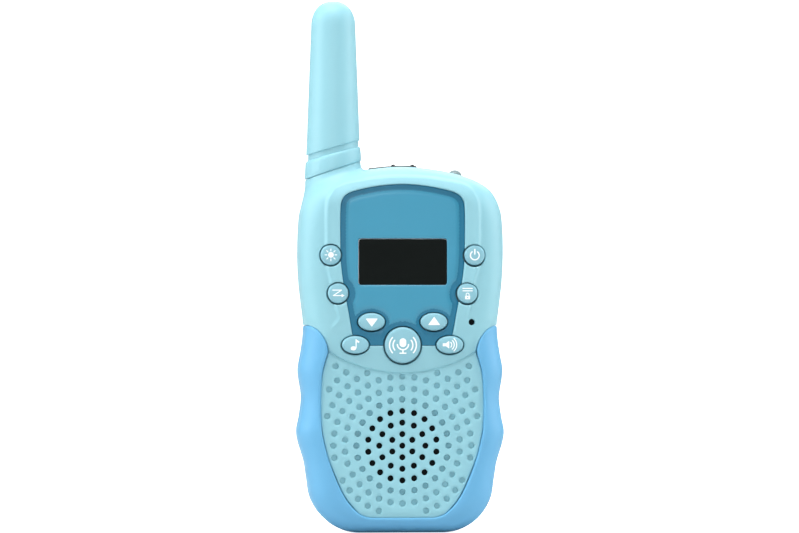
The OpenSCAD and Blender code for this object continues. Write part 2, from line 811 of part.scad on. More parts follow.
module jack_socket() {
    color(ink) difference() {
        union() {
            box([jack_x - 3.5, board_back_y, 92], [jack_x + 3.5, 3.1, 101]);
            translate([jack_x, 0, 100]) cylinder(r = nose_r, h = jack_top - 100);
        }
        translate([jack_x, 0, jack_bottom]) cylinder(r = jack_bore_r, h = 20);
    }
}

// Rubber cover: a bead that turns in the crown, a narrow tether and the flap
module jack_cover() {
    low = pocket_z + 0.05;
    tether_half_w = 1.8;
    tether_top = 104.05;
    flap_top = 104.55;
    bead_r = 0.45;
    color([0.25, 0.27, 0.28]) {
        translate([cover_axis[0], tether_half_w, cover_axis[1]]) rotate([90, 0, 0])
            cylinder(r = bead_r, h = 2 * tether_half_w);
        box([cover_axis[0], -tether_half_w, low], [flap_start + 0.2, tether_half_w, tether_top]);
        box([flap_start, -flap_half_w, low], [flap_end, flap_half_w, flap_top]);
        // two grip ridges
        for (x = [-1.9, 3.6]) box([x - 0.4, -2.6, flap_top - 0.2], [x + 0.4, 2.6, flap_top + 0.35]);
    }
}

// ---------- battery bay ----------

function cell_x(i) = (i - 1.5) * cell_pitch;

module battery_cells() {
    nub = 1;
    spring_room = 3.4;
    for (i = [0:3]) color([0.25, 0.3, 0.35]) translate([cell_x(i), cell_y, 0]) {
        up = i % 2 == 0;
        base = up ? bay_low + spring_room : bay_high - spring_room;
        translate([0, 0, base]) mirror([0, 0, up ? 0 : 1]) {
            cylinder(r = cell_r, h = cell_len - nub);
            cylinder(r = 1.9, h = cell_len);
        }
    }
}

module battery_springs() {
    color(steel) for (i = [0:3]) let (up = i % 2 == 0)
        translate([cell_x(i), cell_y, up ? bay_low + 0.75 : bay_high - 0.75])
            mirror([0, 0, up ? 0 : 1]) coil(3.6, 2.3, 2.2, 3, 0.35);
}

module contact_plates() {
    t = 0.3;
    color(steel) for (z = [bay_low + 0.05, bay_high - t - 0.05]) for (i = [0:3])
        translate([cell_x(i) - 4.6, bay_floor_y + 0.6, z]) cube([9.2, 9, t]);
}

module battery_wires() {
    color("firebrick") for (s = [-1, 1])
        wire([[s * 23.3, 5, 53], [s * 23.3, -1.6, 53], [s * 18, -1.6, 53], [s * 17.5, -2, 54.5],
            [s * 17.5, board_back_y, 54.5]], 0.4, [0, 0, 1]);
}

module battery_door() {
    color(cyan) difference() {
        union() {
            intersection() {
                half_body(1, 0);
                along_y(rear_y - door_t, 20) door_outline(0);
            }
            translate([-knuckle_half, hinge_at[0], hinge_at[1]]) rotate([0, 90, 0])
                cylinder(r = knuckle_r, h = 2 * knuckle_half);
            translate([-hinge_pin_half, hinge_at[0], hinge_at[1]]) rotate([0, 90, 0])
                cylinder(r = hinge_pin_r, h = 2 * hinge_pin_half);
        }
        bar_y(0, door_screw_z, 1.05, 5, 20);
        bar_y(0, door_screw_z, head_r + 0.1, rear_y - 0.9, 20);
    }
}

// ---------- belt clip ----------

module belt_clip() {
    plate_y = 16.5;
    plate_t = 1.8;
    low = 69.5;
    high = 100.5;
    color(cyan) {
        box([-tongue_half, tongue_y, rail_low + 1.7], [tongue_half, tongue_y + tongue_t, 98.6]);
        box([-neck_half, tongue_y, rail_low + 1.7], [neck_half, plate_y + 0.1, 98.6]);
        intersection() {
            translate([-9.5, 0, 0]) rotate([90, 0, 90]) linear_extrude(19) polygon([[plate_y, high],
                [plate_y, low + 5], [plate_y - 2.2, low + 3], [plate_y - 2.2, low + 1.5],
                [plate_y - 0.6, low], [plate_y + 1, low], [plate_y + plate_t, low + 2],
                [plate_y + plate_t, high - 1], [plate_y + 1, high]]);
            along_y(0, 30) polygon([[-7.5, low - 1], [7.5, low - 1], [8.3, low + 2], [9.4, 90], [9.4, 98.5],
                [7.5, high + 1], [-7.5, high + 1], [-9.4, 98.5], [-9.4, 90], [-8.3, low + 2]]);
        }
    }
}

front_case();
rear_case();
grip_frame();
display_lens();
display_glass();
display_holder();
backlight();
zebra_strip();
keypad_mat();
carbon_pills();
talk_key();
call_key();
monitor_key();
down_key();
up_key();
scan_key();
menu_key();
lamp_key();
power_key();
main_board();
shield_can();
control_chip();
amplifier_chip();
crystal();
capacitors();
board_screws();
speaker_frame();
speaker_cone();
speaker_magnet();
speaker_cloth();
speaker_screws();
speaker_wires();
microphone();
mic_boot();
antenna_sleeve();
antenna_core();
antenna_coil();
antenna_lead();
torch_lamp();
torch_leads();
jack_socket();
jack_cover();
battery_cells();
battery_springs();
contact_plates();
battery_wires();
battery_door();
door_screw();
case_screws();
belt_clip();
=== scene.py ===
"""Toy two-way radio: the looks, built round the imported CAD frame. Shapes are worked out in mm."""

import json
import math

import bmesh
import bpy
import numpy as np
from mathutils import Matrix, Vector
from mathutils.geometry import delaunay_2d_cdt
from mathutils.kdtree import KDTree


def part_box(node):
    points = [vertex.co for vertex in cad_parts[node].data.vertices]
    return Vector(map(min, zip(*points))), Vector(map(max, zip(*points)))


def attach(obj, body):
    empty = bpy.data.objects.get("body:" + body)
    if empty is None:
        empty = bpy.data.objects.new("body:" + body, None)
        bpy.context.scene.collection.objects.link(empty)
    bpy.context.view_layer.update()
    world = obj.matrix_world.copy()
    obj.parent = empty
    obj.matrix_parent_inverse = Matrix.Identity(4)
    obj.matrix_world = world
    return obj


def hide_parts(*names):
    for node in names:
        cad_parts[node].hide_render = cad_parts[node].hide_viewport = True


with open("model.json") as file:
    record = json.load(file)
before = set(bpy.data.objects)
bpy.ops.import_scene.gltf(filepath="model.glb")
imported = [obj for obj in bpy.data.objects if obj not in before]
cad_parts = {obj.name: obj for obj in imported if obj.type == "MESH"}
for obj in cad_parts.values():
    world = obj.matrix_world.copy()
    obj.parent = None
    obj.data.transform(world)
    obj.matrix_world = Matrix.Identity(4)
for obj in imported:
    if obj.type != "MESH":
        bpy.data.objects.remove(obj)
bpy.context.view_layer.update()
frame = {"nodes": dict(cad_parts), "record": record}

MM = 0.001

# ---------------------------------------------------------------------------
# Sizes read from the frame, in mm
# ---------------------------------------------------------------------------


def box_mm(node):
    low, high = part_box(node)
    return np.array(low) / MM, np.array(high) / MM


front_low, front_high = box_mm("front_case")
sleeve_low, sleeve_high = box_mm("antenna_sleeve")
HALF = 13.0                      # half depth of the case
ROUND = 7.0                      # edge rounding
FLAT = HALF - ROUND              # depth of the straight side
WALL = 2.0
GRIP_T = 1.8
PANEL_DROP = 1.3
PANEL_INNER_DROP = 0.7
ANT_X = (sleeve_low[0] + sleeve_high[0]) / 2
ANT_TOP = sleeve_high[2]
ANT_ROOT_R, ANT_TIP_R = 8.0, 6.25
SEAM_Z = 103.1
SEAM_TAN = math.tan(math.radians(18.5))
SPEAKER_Z = sum(c[2] for c in box_mm("speaker_frame")) / 2
RING_PITCH = 3.27
SMILE_R, SMILE_Z = 38.35, 84.1
PARTING = 0.07

# ---------------------------------------------------------------------------
# Outlines, right halves from the bottom centre up, seen from the front
# ---------------------------------------------------------------------------

HALF_CASE = [(0, 0), (12.5, 0), (18.3, 1.5), (22.6, 4.8), (25.5, 9.6), (26.5, 15.2), (27.3, 20.2),
             (28.9, 25.5), (29.35, 29), (28.6, 33), (28, 38.5), (28.8, 44), (28.9, 47), (28.1, 51.4),
             (27.5, 56), (27.45, 60), (28.1, 65.5), (28.8, 72), (29.1, 80), (28.9, 87), (28.2, 92),
             (26, 96.6), (22.6, 99.3), (17.9, 101.3), (12.4, 102.7), (5.5, 103.7), (0, 104)]
HALF_WINDOW = [(7, 4.2), (9.6, 4.4), (11.8, 5.2), (13.6, 6.8), (15.9, 9.6), (17.7, 12.9), (19.6, 17.4),
               (21.2, 21.6), (22.4, 26.5), (23.1, 31), (23.4, 38), (22.9, 44.5), (22, 48.4),
               (21.1, 51.4), (21.9, 54.4), (23.5, 56.9), (25.2, 58.2), (27.4, 58.9), (34, 59.1)]
HALF_REAR_WINDOW = [(9, 4.4), (14, 4.4), (17.5, 5.2), (20.6, 7.6), (22.6, 11), (23.2, 15), (23.2, 30),
                    (23.2, 51.4), (23.2, 54.8), (23.5, 56.9), (25.2, 58.2), (27.4, 58.9), (34, 59.1)]
HALF_LENS = [(11.5, 53.1), (13.6, 53.4), (14.1, 55.5), (15.3, 62), (16.5, 68.5), (17.5, 75.8),
             (17.7, 81), (17.7, 91.5), (17.1, 94.6), (15.4, 96.3), (12, 97.4), (6, 98.5), (0, 98.9)]
HALF_SURROUND = [(17.3, 56.5), (17.8, 61), (18.7, 64.6), (20.4, 72.5), (21.3, 77), (21.4, 92),
                 (20.3, 96.2), (17.8, 98.7), (12, 100), (6, 100.8), (0, 101)]


def mirrored(half):
    """The whole closed outline from its right half."""
    return half + [(-x, z) for x, z in reversed(half) if x > 0]


def resample(points, spacing, closed=True):
    points = np.asarray(points, float)
    if closed:
        points = np.vstack([points, points[:1]])
    run = np.r_[0, np.cumsum(np.linalg.norm(np.diff(points, axis=0), axis=1))]
    count = max(3, int(round(run[-1] / spacing)))
    at = np.linspace(0, run[-1], count + 1)
    if closed:
        at = at[:-1]
    return np.column_stack([np.interp(at, run, points[:, 0]), np.interp(at, run, points[:, 1])])


def smooth_loop(points, spacing=None):
    """Closed Catmull-Rom curve through the points, evenly sampled if a spacing is given."""
    p = np.asarray(points, float)
    t = np.linspace(0, 1, 12, endpoint=False)[:, None]
    a, b, c, d = (np.roll(p, 1, 0), p, np.roll(p, -1, 0), np.roll(p, -2, 0))
    curve = [0.5 * (2 * b[i] + (c[i] - a[i]) * t + (2 * a[i] - 5 * b[i] + 4 * c[i] - d[i]) * t * t
                    + (3 * b[i] - a[i] - 3 * c[i] + d[i]) * t ** 3) for i in range(len(p))]
    curve = np.vstack(curve)
    return curve if spacing is None else resample(curve, spacing)


def offset_loop(loop, distance):
    """The loop moved outward (positive) or inward, square to itself; loops run counter-clockwise."""
    tangent = np.roll(loop, -1, 0) - np.roll(loop, 1, 0)
    tangent /= np.linalg.norm(tangent, axis=1)[:, None]
    return loop + distance * np.column_stack([tangent[:, 1], -tangent[:, 0]])


def signed_distance(points, loop):
    """Distance from each point to a closed loop, negative inside."""
    points = np.asarray(points, float)
    a, b = loop, np.roll(loop, -1, 0)
    ab = b - a
    length2 = (ab * ab).sum(1)
    dz = np.where(ab[:, 1] == 0, 1e-12, ab[:, 1])
    out = np.empty(len(points))
    for start in range(0, len(points), 2500):
        p = points[start:start + 2500, None, :]
        t = np.clip(((p - a) * ab).sum(-1) / length2, 0, 1)
        gap = p - a - t[..., None] * ab
        dist = np.sqrt((gap * gap).sum(-1).min(1))
        crosses = (a[:, 1] > p[..., 1]) != (b[:, 1] > p[..., 1])
        left = p[..., 0] < a[:, 0] + (p[..., 1] - a[:, 1]) * ab[:, 0] / dz
        inside = (crosses & left).sum(1) % 2 == 1
        out[start:start + 2500] = np.where(inside, -dist, dist)
    return out


def circle(x, z, r, count):
    a = np.linspace(0, 2 * math.pi, count, endpoint=False)
    return np.column_stack([x + r * np.cos(a), z + r * np.sin(a)])


def ellipse(x, z, a, b, count):
    t = np.linspace(0, 2 * math.pi, count, endpoint=False)
    return np.column_stack([x + a * np.cos(t), z + b * np.sin(t)])


def ramp(value, low, high):
    """0 below low, 1 above high, smooth between."""
    t = np.clip((value - low) / (high - low), 0, 1)
    return t * t * (3 - 2 * t)


CASE = smooth_loop(mirrored(HALF_CASE), 0.35)
CASE[:, 1] = np.maximum(CASE[:, 1], 0)
WINDOW = smooth_loop(HALF_WINDOW + [(34, 130), (-34, 130)]
                     + [(-x, z) for x, z in reversed(HALF_WINDOW)])
REAR_WINDOW = smooth_loop(HALF_REAR_WINDOW + [(34, 130), (-34, 130)]
                          + [(-x, z) for x, z in reversed(HALF_REAR_WINDOW)])
LENS = smooth_loop(mirrored(HALF_LENS), 0.5)
SURROUND = smooth_loop(mirrored(HALF_SURROUND), 0.6)

# ---------------------------------------------------------------------------
# The body: a rounded slab joined smoothly to the antenna stub
# ---------------------------------------------------------------------------

BLEND_R = 2.2


def antenna_radius(z):
    return ANT_TIP_R + (146 - z) * (ANT_ROOT_R - ANT_TIP_R) / 46


def body_field(flat_distance, points, y):
    """Signed distance to the body; flat_distance is the distance to the case outline."""
    across = flat_distance + ROUND
    deep = np.abs(y) - FLAT
    slab = (np.hypot(np.maximum(across, 0), np.maximum(deep, 0))
            + np.minimum(np.maximum(across, deep), 0) - ROUND)
    stub = np.hypot(points[:, 0] - ANT_X, y) - antenna_radius(points[:, 1])
    stub = np.where(points[:, 1] < 80, 50, stub)
    close = np.maximum(BLEND_R - np.abs(slab - stub), 0) / BLEND_R
    return np.minimum(slab, stub) - close * close * BLEND_R / 4


def body_depth(points):
    """Depth of the body's skin over each (x, z), measured from the parting plane."""
    flat = signed_distance(points, CASE)
    low = np.zeros(len(points))
    high = np.full(len(points), HALF + 1)
    for _ in range(34):
        mid = (low + high) / 2
        inside = body_field(flat, points, mid) < 0
        low = np.where(inside, mid, low)
        high = np.where(inside, high, mid)
    return low


def body_normal(points, y):
    """Outward normals of the body at depth y on the positive side."""
    e = 0.04
    parts = []
    for shift in ((e, 0), (0, e)):
        ahead, back = points + shift, points - shift
        parts.append(body_field(signed_distance(ahead, CASE), ahead, y)
                     - body_field(signed_distance(back, CASE), back, y))
    flat = signed_distance(points, CASE)
    parts.insert(1, body_field(flat, points, y + e) - body_field(flat, points, np.abs(y - e)))
    n = np.column_stack(parts)
    at_middle = y < e
    n[at_middle, 1] = 0
    return n / np.linalg.norm(n, axis=1)[:, None]


def seam_height(x):
    return SEAM_Z + (x - ANT_X) * SEAM_TAN


def body_outline(spacing):
    """Outline of case and antenna stub together at the parting plane, open above the seam."""
    top = 112.0
    right = [(ANT_X + antenna_radius(z), z) for z in np.arange(top, 103.5, -0.5)]
    left = [(ANT_X - antenna_radius(z), z) for z in np.arange(94.5, top + 0.1, 0.5)]
    start = int(np.argmin(np.hypot(CASE[:, 0] - right[-1][0], CASE[:, 1] - 103)))
    round_trip = np.roll(CASE, -start, 0)[::-1]
    stop = int(np.argmin(np.hypot(round_trip[:, 0] - left[0][0], round_trip[:, 1] - left[0][1])))
    path = np.vstack([right, round_trip[1:stop], left])
    path = resample(path, spacing)
    for _ in range(4):
        e = 0.02
        value = body_field(signed_distance(path, CASE), path, np.zeros(len(path)))
        grad = []
        for shift in ((e, 0), (0, e)):
            ahead, back = path + shift, path - shift
            grad.append((body_field(signed_distance(ahead, CASE), ahead, np.zeros(len(path)))
                         - body_field(signed_distance(back, CASE), back, np.zeros(len(path)))) / (2 * e))
        grad = np.column_stack(grad)
        step = value / np.maximum((grad * grad).sum(1), 0.2)
        step = np.where(path[:, 1] > 109, 0, step)
        path = path - step[:, None] * grad
    path = path[::-1]
    foot = (np.abs(path[:, 0]) < 12.6) & (path[:, 1] < 0.5)
    path[foot, 1] = 0
    return path


OUTLINE = body_outline(0.8)

# ---------------------------------------------------------------------------
# Sheets and shells: a patch of the (x, z) plane, triangulated, then given two faces
# ---------------------------------------------------------------------------


def sheet(lines, keep, fill, spacing):
    """Triangles over part of a plane. Each line (points, closed) stays an edge, keep() says what is
    part of the sheet, and fill() where a hexagonal grid of points is added."""
    points, edges = [], []
    for line, closed in lines:
        first, n = len(points), len(line)
        points.extend(map(tuple, line))
        edges += [(first + i, first + (i + 1) % n) for i in range(n if closed else n - 1)]
    placed = np.array(points)
    low, high = placed.min(0), np.minimum(placed.max(0), 160)
    rows = []
    for k, z in enumerate(np.arange(low[1], high[1], spacing * 0.866)):
        x = np.arange(low[0] + (k % 2) * spacing / 2, high[0], spacing)
        rows.append(np.column_stack([x, np.full(len(x), z)]))
    grid = np.vstack(rows)
    grid = grid[fill(grid)]
    tree = KDTree(len(placed))
    for i, p in enumerate(placed):
        tree.insert((p[0], p[1], 0), i)
    tree.balance()
    grid = [p for p in grid if tree.find((p[0], p[1], 0))[2] > 0.55 * spacing]
    flat = [Vector(p) for p in points] + [Vector((p[0], p[1])) for p in grid]
    verts, _, faces = delaunay_2d_cdt(flat, edges, [], 0, 1e-4)[:3]
    verts = np.array([(v.x, v.y) for v in verts])
    faces = np.array(faces)
    faces = faces[keep(verts[faces].mean(1))]
    used, faces = np.unique(faces, return_inverse=True)
    faces = faces.reshape(-1, 3)
    verts = verts[used]
    a, b, c = (verts[faces[:, k]] for k in range(3))
    turned = (b[:, 0] - a[:, 0]) * (c[:, 1] - a[:, 1]) - (b[:, 1] - a[:, 1]) * (c[:, 0] - a[:, 0]) < 0
    faces[turned] = faces[turned][:, ::-1]
    return verts, faces


def close_layers(faces, outer, inner, rim=None, rim_rows=None, open_rim=False):
    """A closed surface from two layers of the same triangles, walled along every free edge.
    Rim points carry their own rows of wall points; open_rim leaves the wall's middle row open."""
    n = len(outer)
    edges = np.vstack([faces[:, [0, 1]], faces[:, [1, 2]], faces[:, [2, 0]]])
    free = edges[~np.isin(edges[:, 1] * n + edges[:, 0], edges[:, 0] * n + edges[:, 1])]
    group = list(range(n))

    def root(i):
        while group[i] != i:
            group[i] = group[group[i]]
            i = group[i]
        return i

    for a, b in free:
        group[root(a)] = root(b)
    rim_groups = {root(i) for i in np.unique(free) if rim is not None and rim[i]}
    verts = list(map(tuple, outer)) + list(map(tuple, inner))
    out_faces = [tuple(f) for f in faces] + [(f[0] + n, f[2] + n, f[1] + n) for f in faces]
    count = 0 if rim_rows is None else len(rim_rows)
    chain = {}
    for i in np.unique(free):
        middle = []
        if root(i) in rim_groups:
            for k in range(count):
                t = (k + 1) / (count + 1)
                place = rim_rows[k][i] if rim[i] else outer[i] * (1 - t) + inner[i] * t
                middle.append(len(verts))
                verts.append(tuple(place))
        chain[i] = [i] + middle + [i + n]
    for a, b in free:
        ca, cb = chain[a], chain[b]
        for k in range(len(ca) - 1):
            if open_rim and rim[a] and rim[b] and k == count - 1:
                continue
            out_faces.append((cb[k], ca[k], ca[k + 1], cb[k + 1]))
    return verts, out_faces


def merged(parts, gap=None):
    """Several (verts, faces) as one; gap welds points nearer than this on the parting plane."""
    verts, faces = [], []
    for v, f in parts:
        base = len(verts)
        verts += list(v)
        faces += [tuple(i + base for i in face) for face in f]
    if gap is None:
        return verts, faces
    where = np.array(verts)
    middle = [i for i in range(len(verts)) if abs(where[i, 1]) < 1e-4]
    tree = KDTree(len(middle))
    for i in middle:
        tree.insert(verts[i], i)
    tree.balance()
    target = list(range(len(verts)))
    for i in middle:
        for _, j, _ in tree.find_range(verts[i], gap):
            target[i] = min(target[i], j)
    faces = [tuple(target[i] for i in face) for face in faces]
    used = sorted({i for face in faces for i in face})
    renumber = {old: new for new, old in enumerate(used)}
    return [verts[i] for i in used], [tuple(renumber[i] for i in face) for face in faces]


def make(name, parts, material, body, slot, stands_for=(), sharp=38.0, flip=False):
    """A mesh object in metres from (verts, faces) parts given in mm."""
    verts, faces = merged(parts)
    mesh = bpy.data.meshes.new(name)
    mesh.from_pydata([tuple(c * MM for c in v) for v in verts], [],
                     [f[::-1] for f in faces] if flip else faces)
    mesh.validate()
    work = bmesh.new()
    work.from_mesh(mesh)
    bmesh.ops.dissolve_degenerate(work, dist=1e-8, edges=work.edges)
    open_edges = [e for e in work.edges if not e.is_manifold]
    if open_edges:
        print("OPEN", name, len(open_edges), [tuple(round(c / MM, 2) for c in e.verts[0].co)
                                              for e in open_edges[:4]])
    limit = math.radians(sharp)
    for face in work.faces:
        face.smooth = True
    for edge in work.edges:
        if edge.is_manifold and edge.calc_face_angle(0) > limit:
            edge.smooth = False
    work.to_mesh(mesh)
    work.free()
    piece = bpy.data.objects.new(name, mesh)
    bpy.context.scene.collection.objects.link(piece)
    mesh.materials.append(material)
    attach(piece, body)
    for node in stands_for:
        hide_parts(node)
    return piece


RIM_STEPS = (0.66, 0.33, 0.05)


def skin(points):
    """Places and outward normals of the body over (x, z) points, on the positive side, the points
    that lie on its rim, and the level normals there."""
    e = 0.03
    rim = signed_distance(points, OUTLINE) > -0.004
    flat_normal = np.zeros((len(points), 3))
    zero = np.zeros(int(rim.sum()))
    edge = points[rim]
    for axis, shift in ((0, (e, 0)), (2, (0, e))):
        ahead, back = edge + shift, edge - shift
        flat_normal[rim, axis] = (body_field(signed_distance(ahead, CASE), ahead, zero)
                                  - body_field(signed_distance(back, CASE), back, zero))
    flat_normal[rim] /= np.linalg.norm(flat_normal[rim], axis=1)[:, None]
    looked = points - 0.012 * flat_normal[:, [0, 2]]
    depth = body_depth(looked)
    normal = body_normal(looked, depth)
    place = np.column_stack([points[:, 0], depth, points[:, 1]])
    return place, normal, rim, flat_normal


def body_shell(points, faces, drop, wall, inner_drop=None, sink=None, joined=False, inner_depth=None):
    """A half shell of the body. drop lowers the outer face, sink moves it along its normal."""
    place, normal, rim, level = skin(points)
    outer, inner = place.copy(), place - normal * wall
    outer[:, 1] -= drop
    if sink is not None:
        outer -= normal * sink[:, None]
    if inner_drop is not None:
        inner[:, 1] -= inner_drop
    if inner_depth is not None:
        inner[:, 1] = np.minimum(inner[:, 1], inner_depth)
    base = 0.0 if joined else PARTING
    rows = []
    top = np.maximum(outer[:, 1], base + 0.02)
    for f in RIM_STEPS:
        row = place.copy()
        row[:, 1] = base + (top - base) * f
        if sink is not None:
            row -= level * sink[:, None]
        rows.append(row)
    edge = place - level * (0 if joined else 0.14)
    edge[:, 1] = base
    if sink is not None:
        edge -= level * sink[:, None]
    back = place - level * wall
    back[:, 1] = base
    rows += [edge, back]
    return close_layers(faces, outer, inner, rim, rows, open_rim=joined)


def facing(part, side):
    """The part set on the front (-1) or the rear (+1)."""
    verts, faces = part
    if side > 0:
        return [(x, y, z) for x, y, z in verts], [f[::-1] for f in faces]
    return [(x, -y, z) for x, y, z in verts], faces


def rings(loop, depths):
    """Closed lines parallel to a loop, these distances inside it."""
    return [(offset_loop(loop, -d), True) for d in depths]


EDGE_RINGS = (0.04, 0.16, 0.34, 0.6, 0.94, 1.34, 1.8, 2.3)
BODY_LINES = [(OUTLINE, True)] + rings(OUTLINE, EDGE_RINGS)
SEAM_X = np.arange(ANT_X - 9, ANT_X + 9.01, 0.5)


def seam_line(below):
    return (np.column_stack([SEAM_X, seam_height(SEAM_X) - below]), False)


def smile_line(extra):
    a = np.linspace(math.radians(-131), math.radians(-49), 90)
    r = SMILE_R + extra
    return (np.column_stack([r * np.cos(a), SMILE_Z + r * np.sin(a)]), False)


# ---------------------------------------------------------------------------
# Places on the front
# ---------------------------------------------------------------------------

KEYS = {}
for key_name in ("talk", "call", "monitor", "down", "up", "scan", "menu", "lamp", "power"):
    key_low, key_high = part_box(key_name + "_key")
    KEYS[key_name] = ((key_low.x + key_high.x) / 2 / MM, (key_low.z + key_high.z) / 2 / MM)
KEY_SIZE = {"talk": (5.1, 5.1), "call": (3.8, 2.5), "monitor": (3.8, 2.5), "down": (3.8, 2.5),
            "up": (3.8, 2.5), "scan": (2.9, 2.9), "menu": (2.9, 2.9), "lamp": (2.9, 2.9),
            "power": (2.9, 2.9)}
KEY_GAP = 0.34
HOLE_GAP = {"talk": 0.42}
HOLE_SHIFT = {"power": (-0.12, -0.2), "menu": (-0.12, -0.2)}
MIC = (19.6, 59.8)
SCREEN_Z = 76.9


def hole_centre(name):
    """The holes sit a little low, so that the gap is widest under each key."""
    dx, dz = HOLE_SHIFT.get(name, (0.0, -0.1))
    return KEYS[name][0] + dx, KEYS[name][1] + dz


def key_gap(points, name, grow=0.0):
    """Distance outside a key's hole, which is the key's outline grown by its gap."""
    x, z = hole_centre(name)
    a, b = (r + HOLE_GAP.get(name, KEY_GAP) + grow for r in KEY_SIZE[name])
    u, v = points[:, 0] - x, points[:, 1] - z
    if a == b:
        return np.hypot(u, v) - a
    k0 = np.hypot(u / a, v / b)
    k1 = np.hypot(u / a ** 2, v / b ** 2)
    return np.where(k0 < 1e-6, -min(a, b), k0 * (k0 - 1) / np.maximum(k1, 1e-9))


def key_line(name, extra):
    x, z = hole_centre(name)
    a, b = (r + HOLE_GAP.get(name, KEY_GAP) + extra for r in KEY_SIZE[name])
    return (ellipse(x, z, a, b, 64 if name == "talk" else 40), True)


def ring_places(k):
    if k == 0:
        return [(0.0, SPEAKER_Z)]
    count = 6 * k
    a = [math.pi / 2 + 2 * math.pi * i / count for i in range(count)]
    return [(RING_PITCH * k * math.cos(t), SPEAKER_Z + RING_PITCH * k * math.sin(t)) for t in a]


SOUND_HOLES = np.array([p for k in range(4) for p in ring_places(k)])
HOLE_R = 0.88
DIMPLES = []
for ring in range(4, 10):
    for p in ring_places(ring):
        inside = signed_distance([p], WINDOW)[0] < -1.35 and abs(p[0]) < 21.36
        if inside and math.hypot(p[0], p[1] - SMILE_Z) > SMILE_R + 1.1 and p[1] < 60:
            DIMPLES.append((p[0], p[1], 1.05 if ring == 4 else 0.7))
DIMPLES = np.array(DIMPLES)


def nearest(points, centres):
    """Distance to the nearest of the centres, and which it is."""
    tree = KDTree(len(centres))
    for i, c in enumerate(centres):
        tree.insert((c[0], c[1], 0), i)
    tree.balance()
    found = [tree.find((p[0], p[1], 0)) for p in points]
    return np.array([f[2] for f in found]), np.array([f[1] for f in found])


def rounded_rect(x, z, half_x, half_z, r, steps=6):
    out = []
    for cx, cz, start in ((1, -1, -90), (1, 1, 0), (-1, 1, 90), (-1, -1, 180)):
        for i in range(steps + 1):
            t = math.radians(start + 90 * i / steps)
            out.append((x + cx * (half_x - r) + r * math.cos(t), z + cz * (half_z - r) + r * math.sin(t)))
    return resample(out, 0.5)


def rect_distance(points, x, z, half_x, half_z, r):
    u = np.abs(points[:, 0] - x) - half_x + r
    v = np.abs(points[:, 1] - z) - half_z + r
    return np.hypot(np.maximum(u, 0), np.maximum(v, 0)) + np.minimum(np.maximum(u, v), 0) - r


# ---------------------------------------------------------------------------
# Front case
# ---------------------------------------------------------------------------

SEAT_EDGE = 0.08
LENS_FLOOR = 11.52


def surround_raise(points):
    s = signed_distance(points, SURROUND)
    up = 0.66 * (1 - ramp(s, -0.05, 0.85)) + 0.2 * (1 - ramp(s, 0.1, 4.2))
    up += 0.12 * np.exp(-((s + 0.3) / 0.32) ** 2)
    return up * ramp(points[:, 1], 55.0, 66.0)


def front_drop(points):
    """How far the front face lies under the plain body."""
    x, z = points[:, 0], points[:, 1]
    edge_in = -signed_distance(points, WINDOW) - SEAT_EDGE
    below = np.hypot(x, z - SMILE_Z) - SMILE_R
    rolled = 0.9 * np.clip(1 + below / 9.0, 0, 1) ** 2 * (z < 60)
    panel = np.where(below > 0, np.interp(below, [0, 0.1, 0.35, 0.6, 0.88],
                                          [0.9, 0.96, 1.48, 1.48, PANEL_DROP]), rolled)
    panel -= np.interp(z, [5, 42], [0.6, 0]) * (below > 0)
    drop = panel - surround_raise(points)
    drop += np.interp(edge_in, [0, 0.1, 0.25, 0.5], [0.36, 0.14, 0.04, 0])
    lens = signed_distance(points, LENS)
    for name in KEYS:
        drop += np.interp(key_gap(points, name), [0, 0.07, 0.2, 0.4], [0.24, 0.1, 0.02, 0])
    drop += np.interp(np.hypot(x - MIC[0], z - MIC[1]) - 0.9, [0, 0.07, 0.2], [0.2, 0.06, 0])
    gap, _ = nearest(points, SOUND_HOLES)
    drop += np.interp(gap - HOLE_R, [0, 0.07, 0.16], [0.16, 0.05, 0])
    gap, which = nearest(points, DIMPLES[:, :2])
    dent = np.interp(gap, [0.82, 0.91, 1.0], [1, 0.08, 0]) * DIMPLES[which, 2]
    drop += np.where(below > 0.8, dent, 0)
    drop += np.interp(lens, [-0.02, 0.06, 0.18, 0.4], [0.3, 0.12, 0.03, 0])
    in_lens = 1 - np.clip((lens + 0.08) / 0.06, 0, 1)
    return drop * (1 - in_lens) + (HALF - LENS_FLOOR) * in_lens


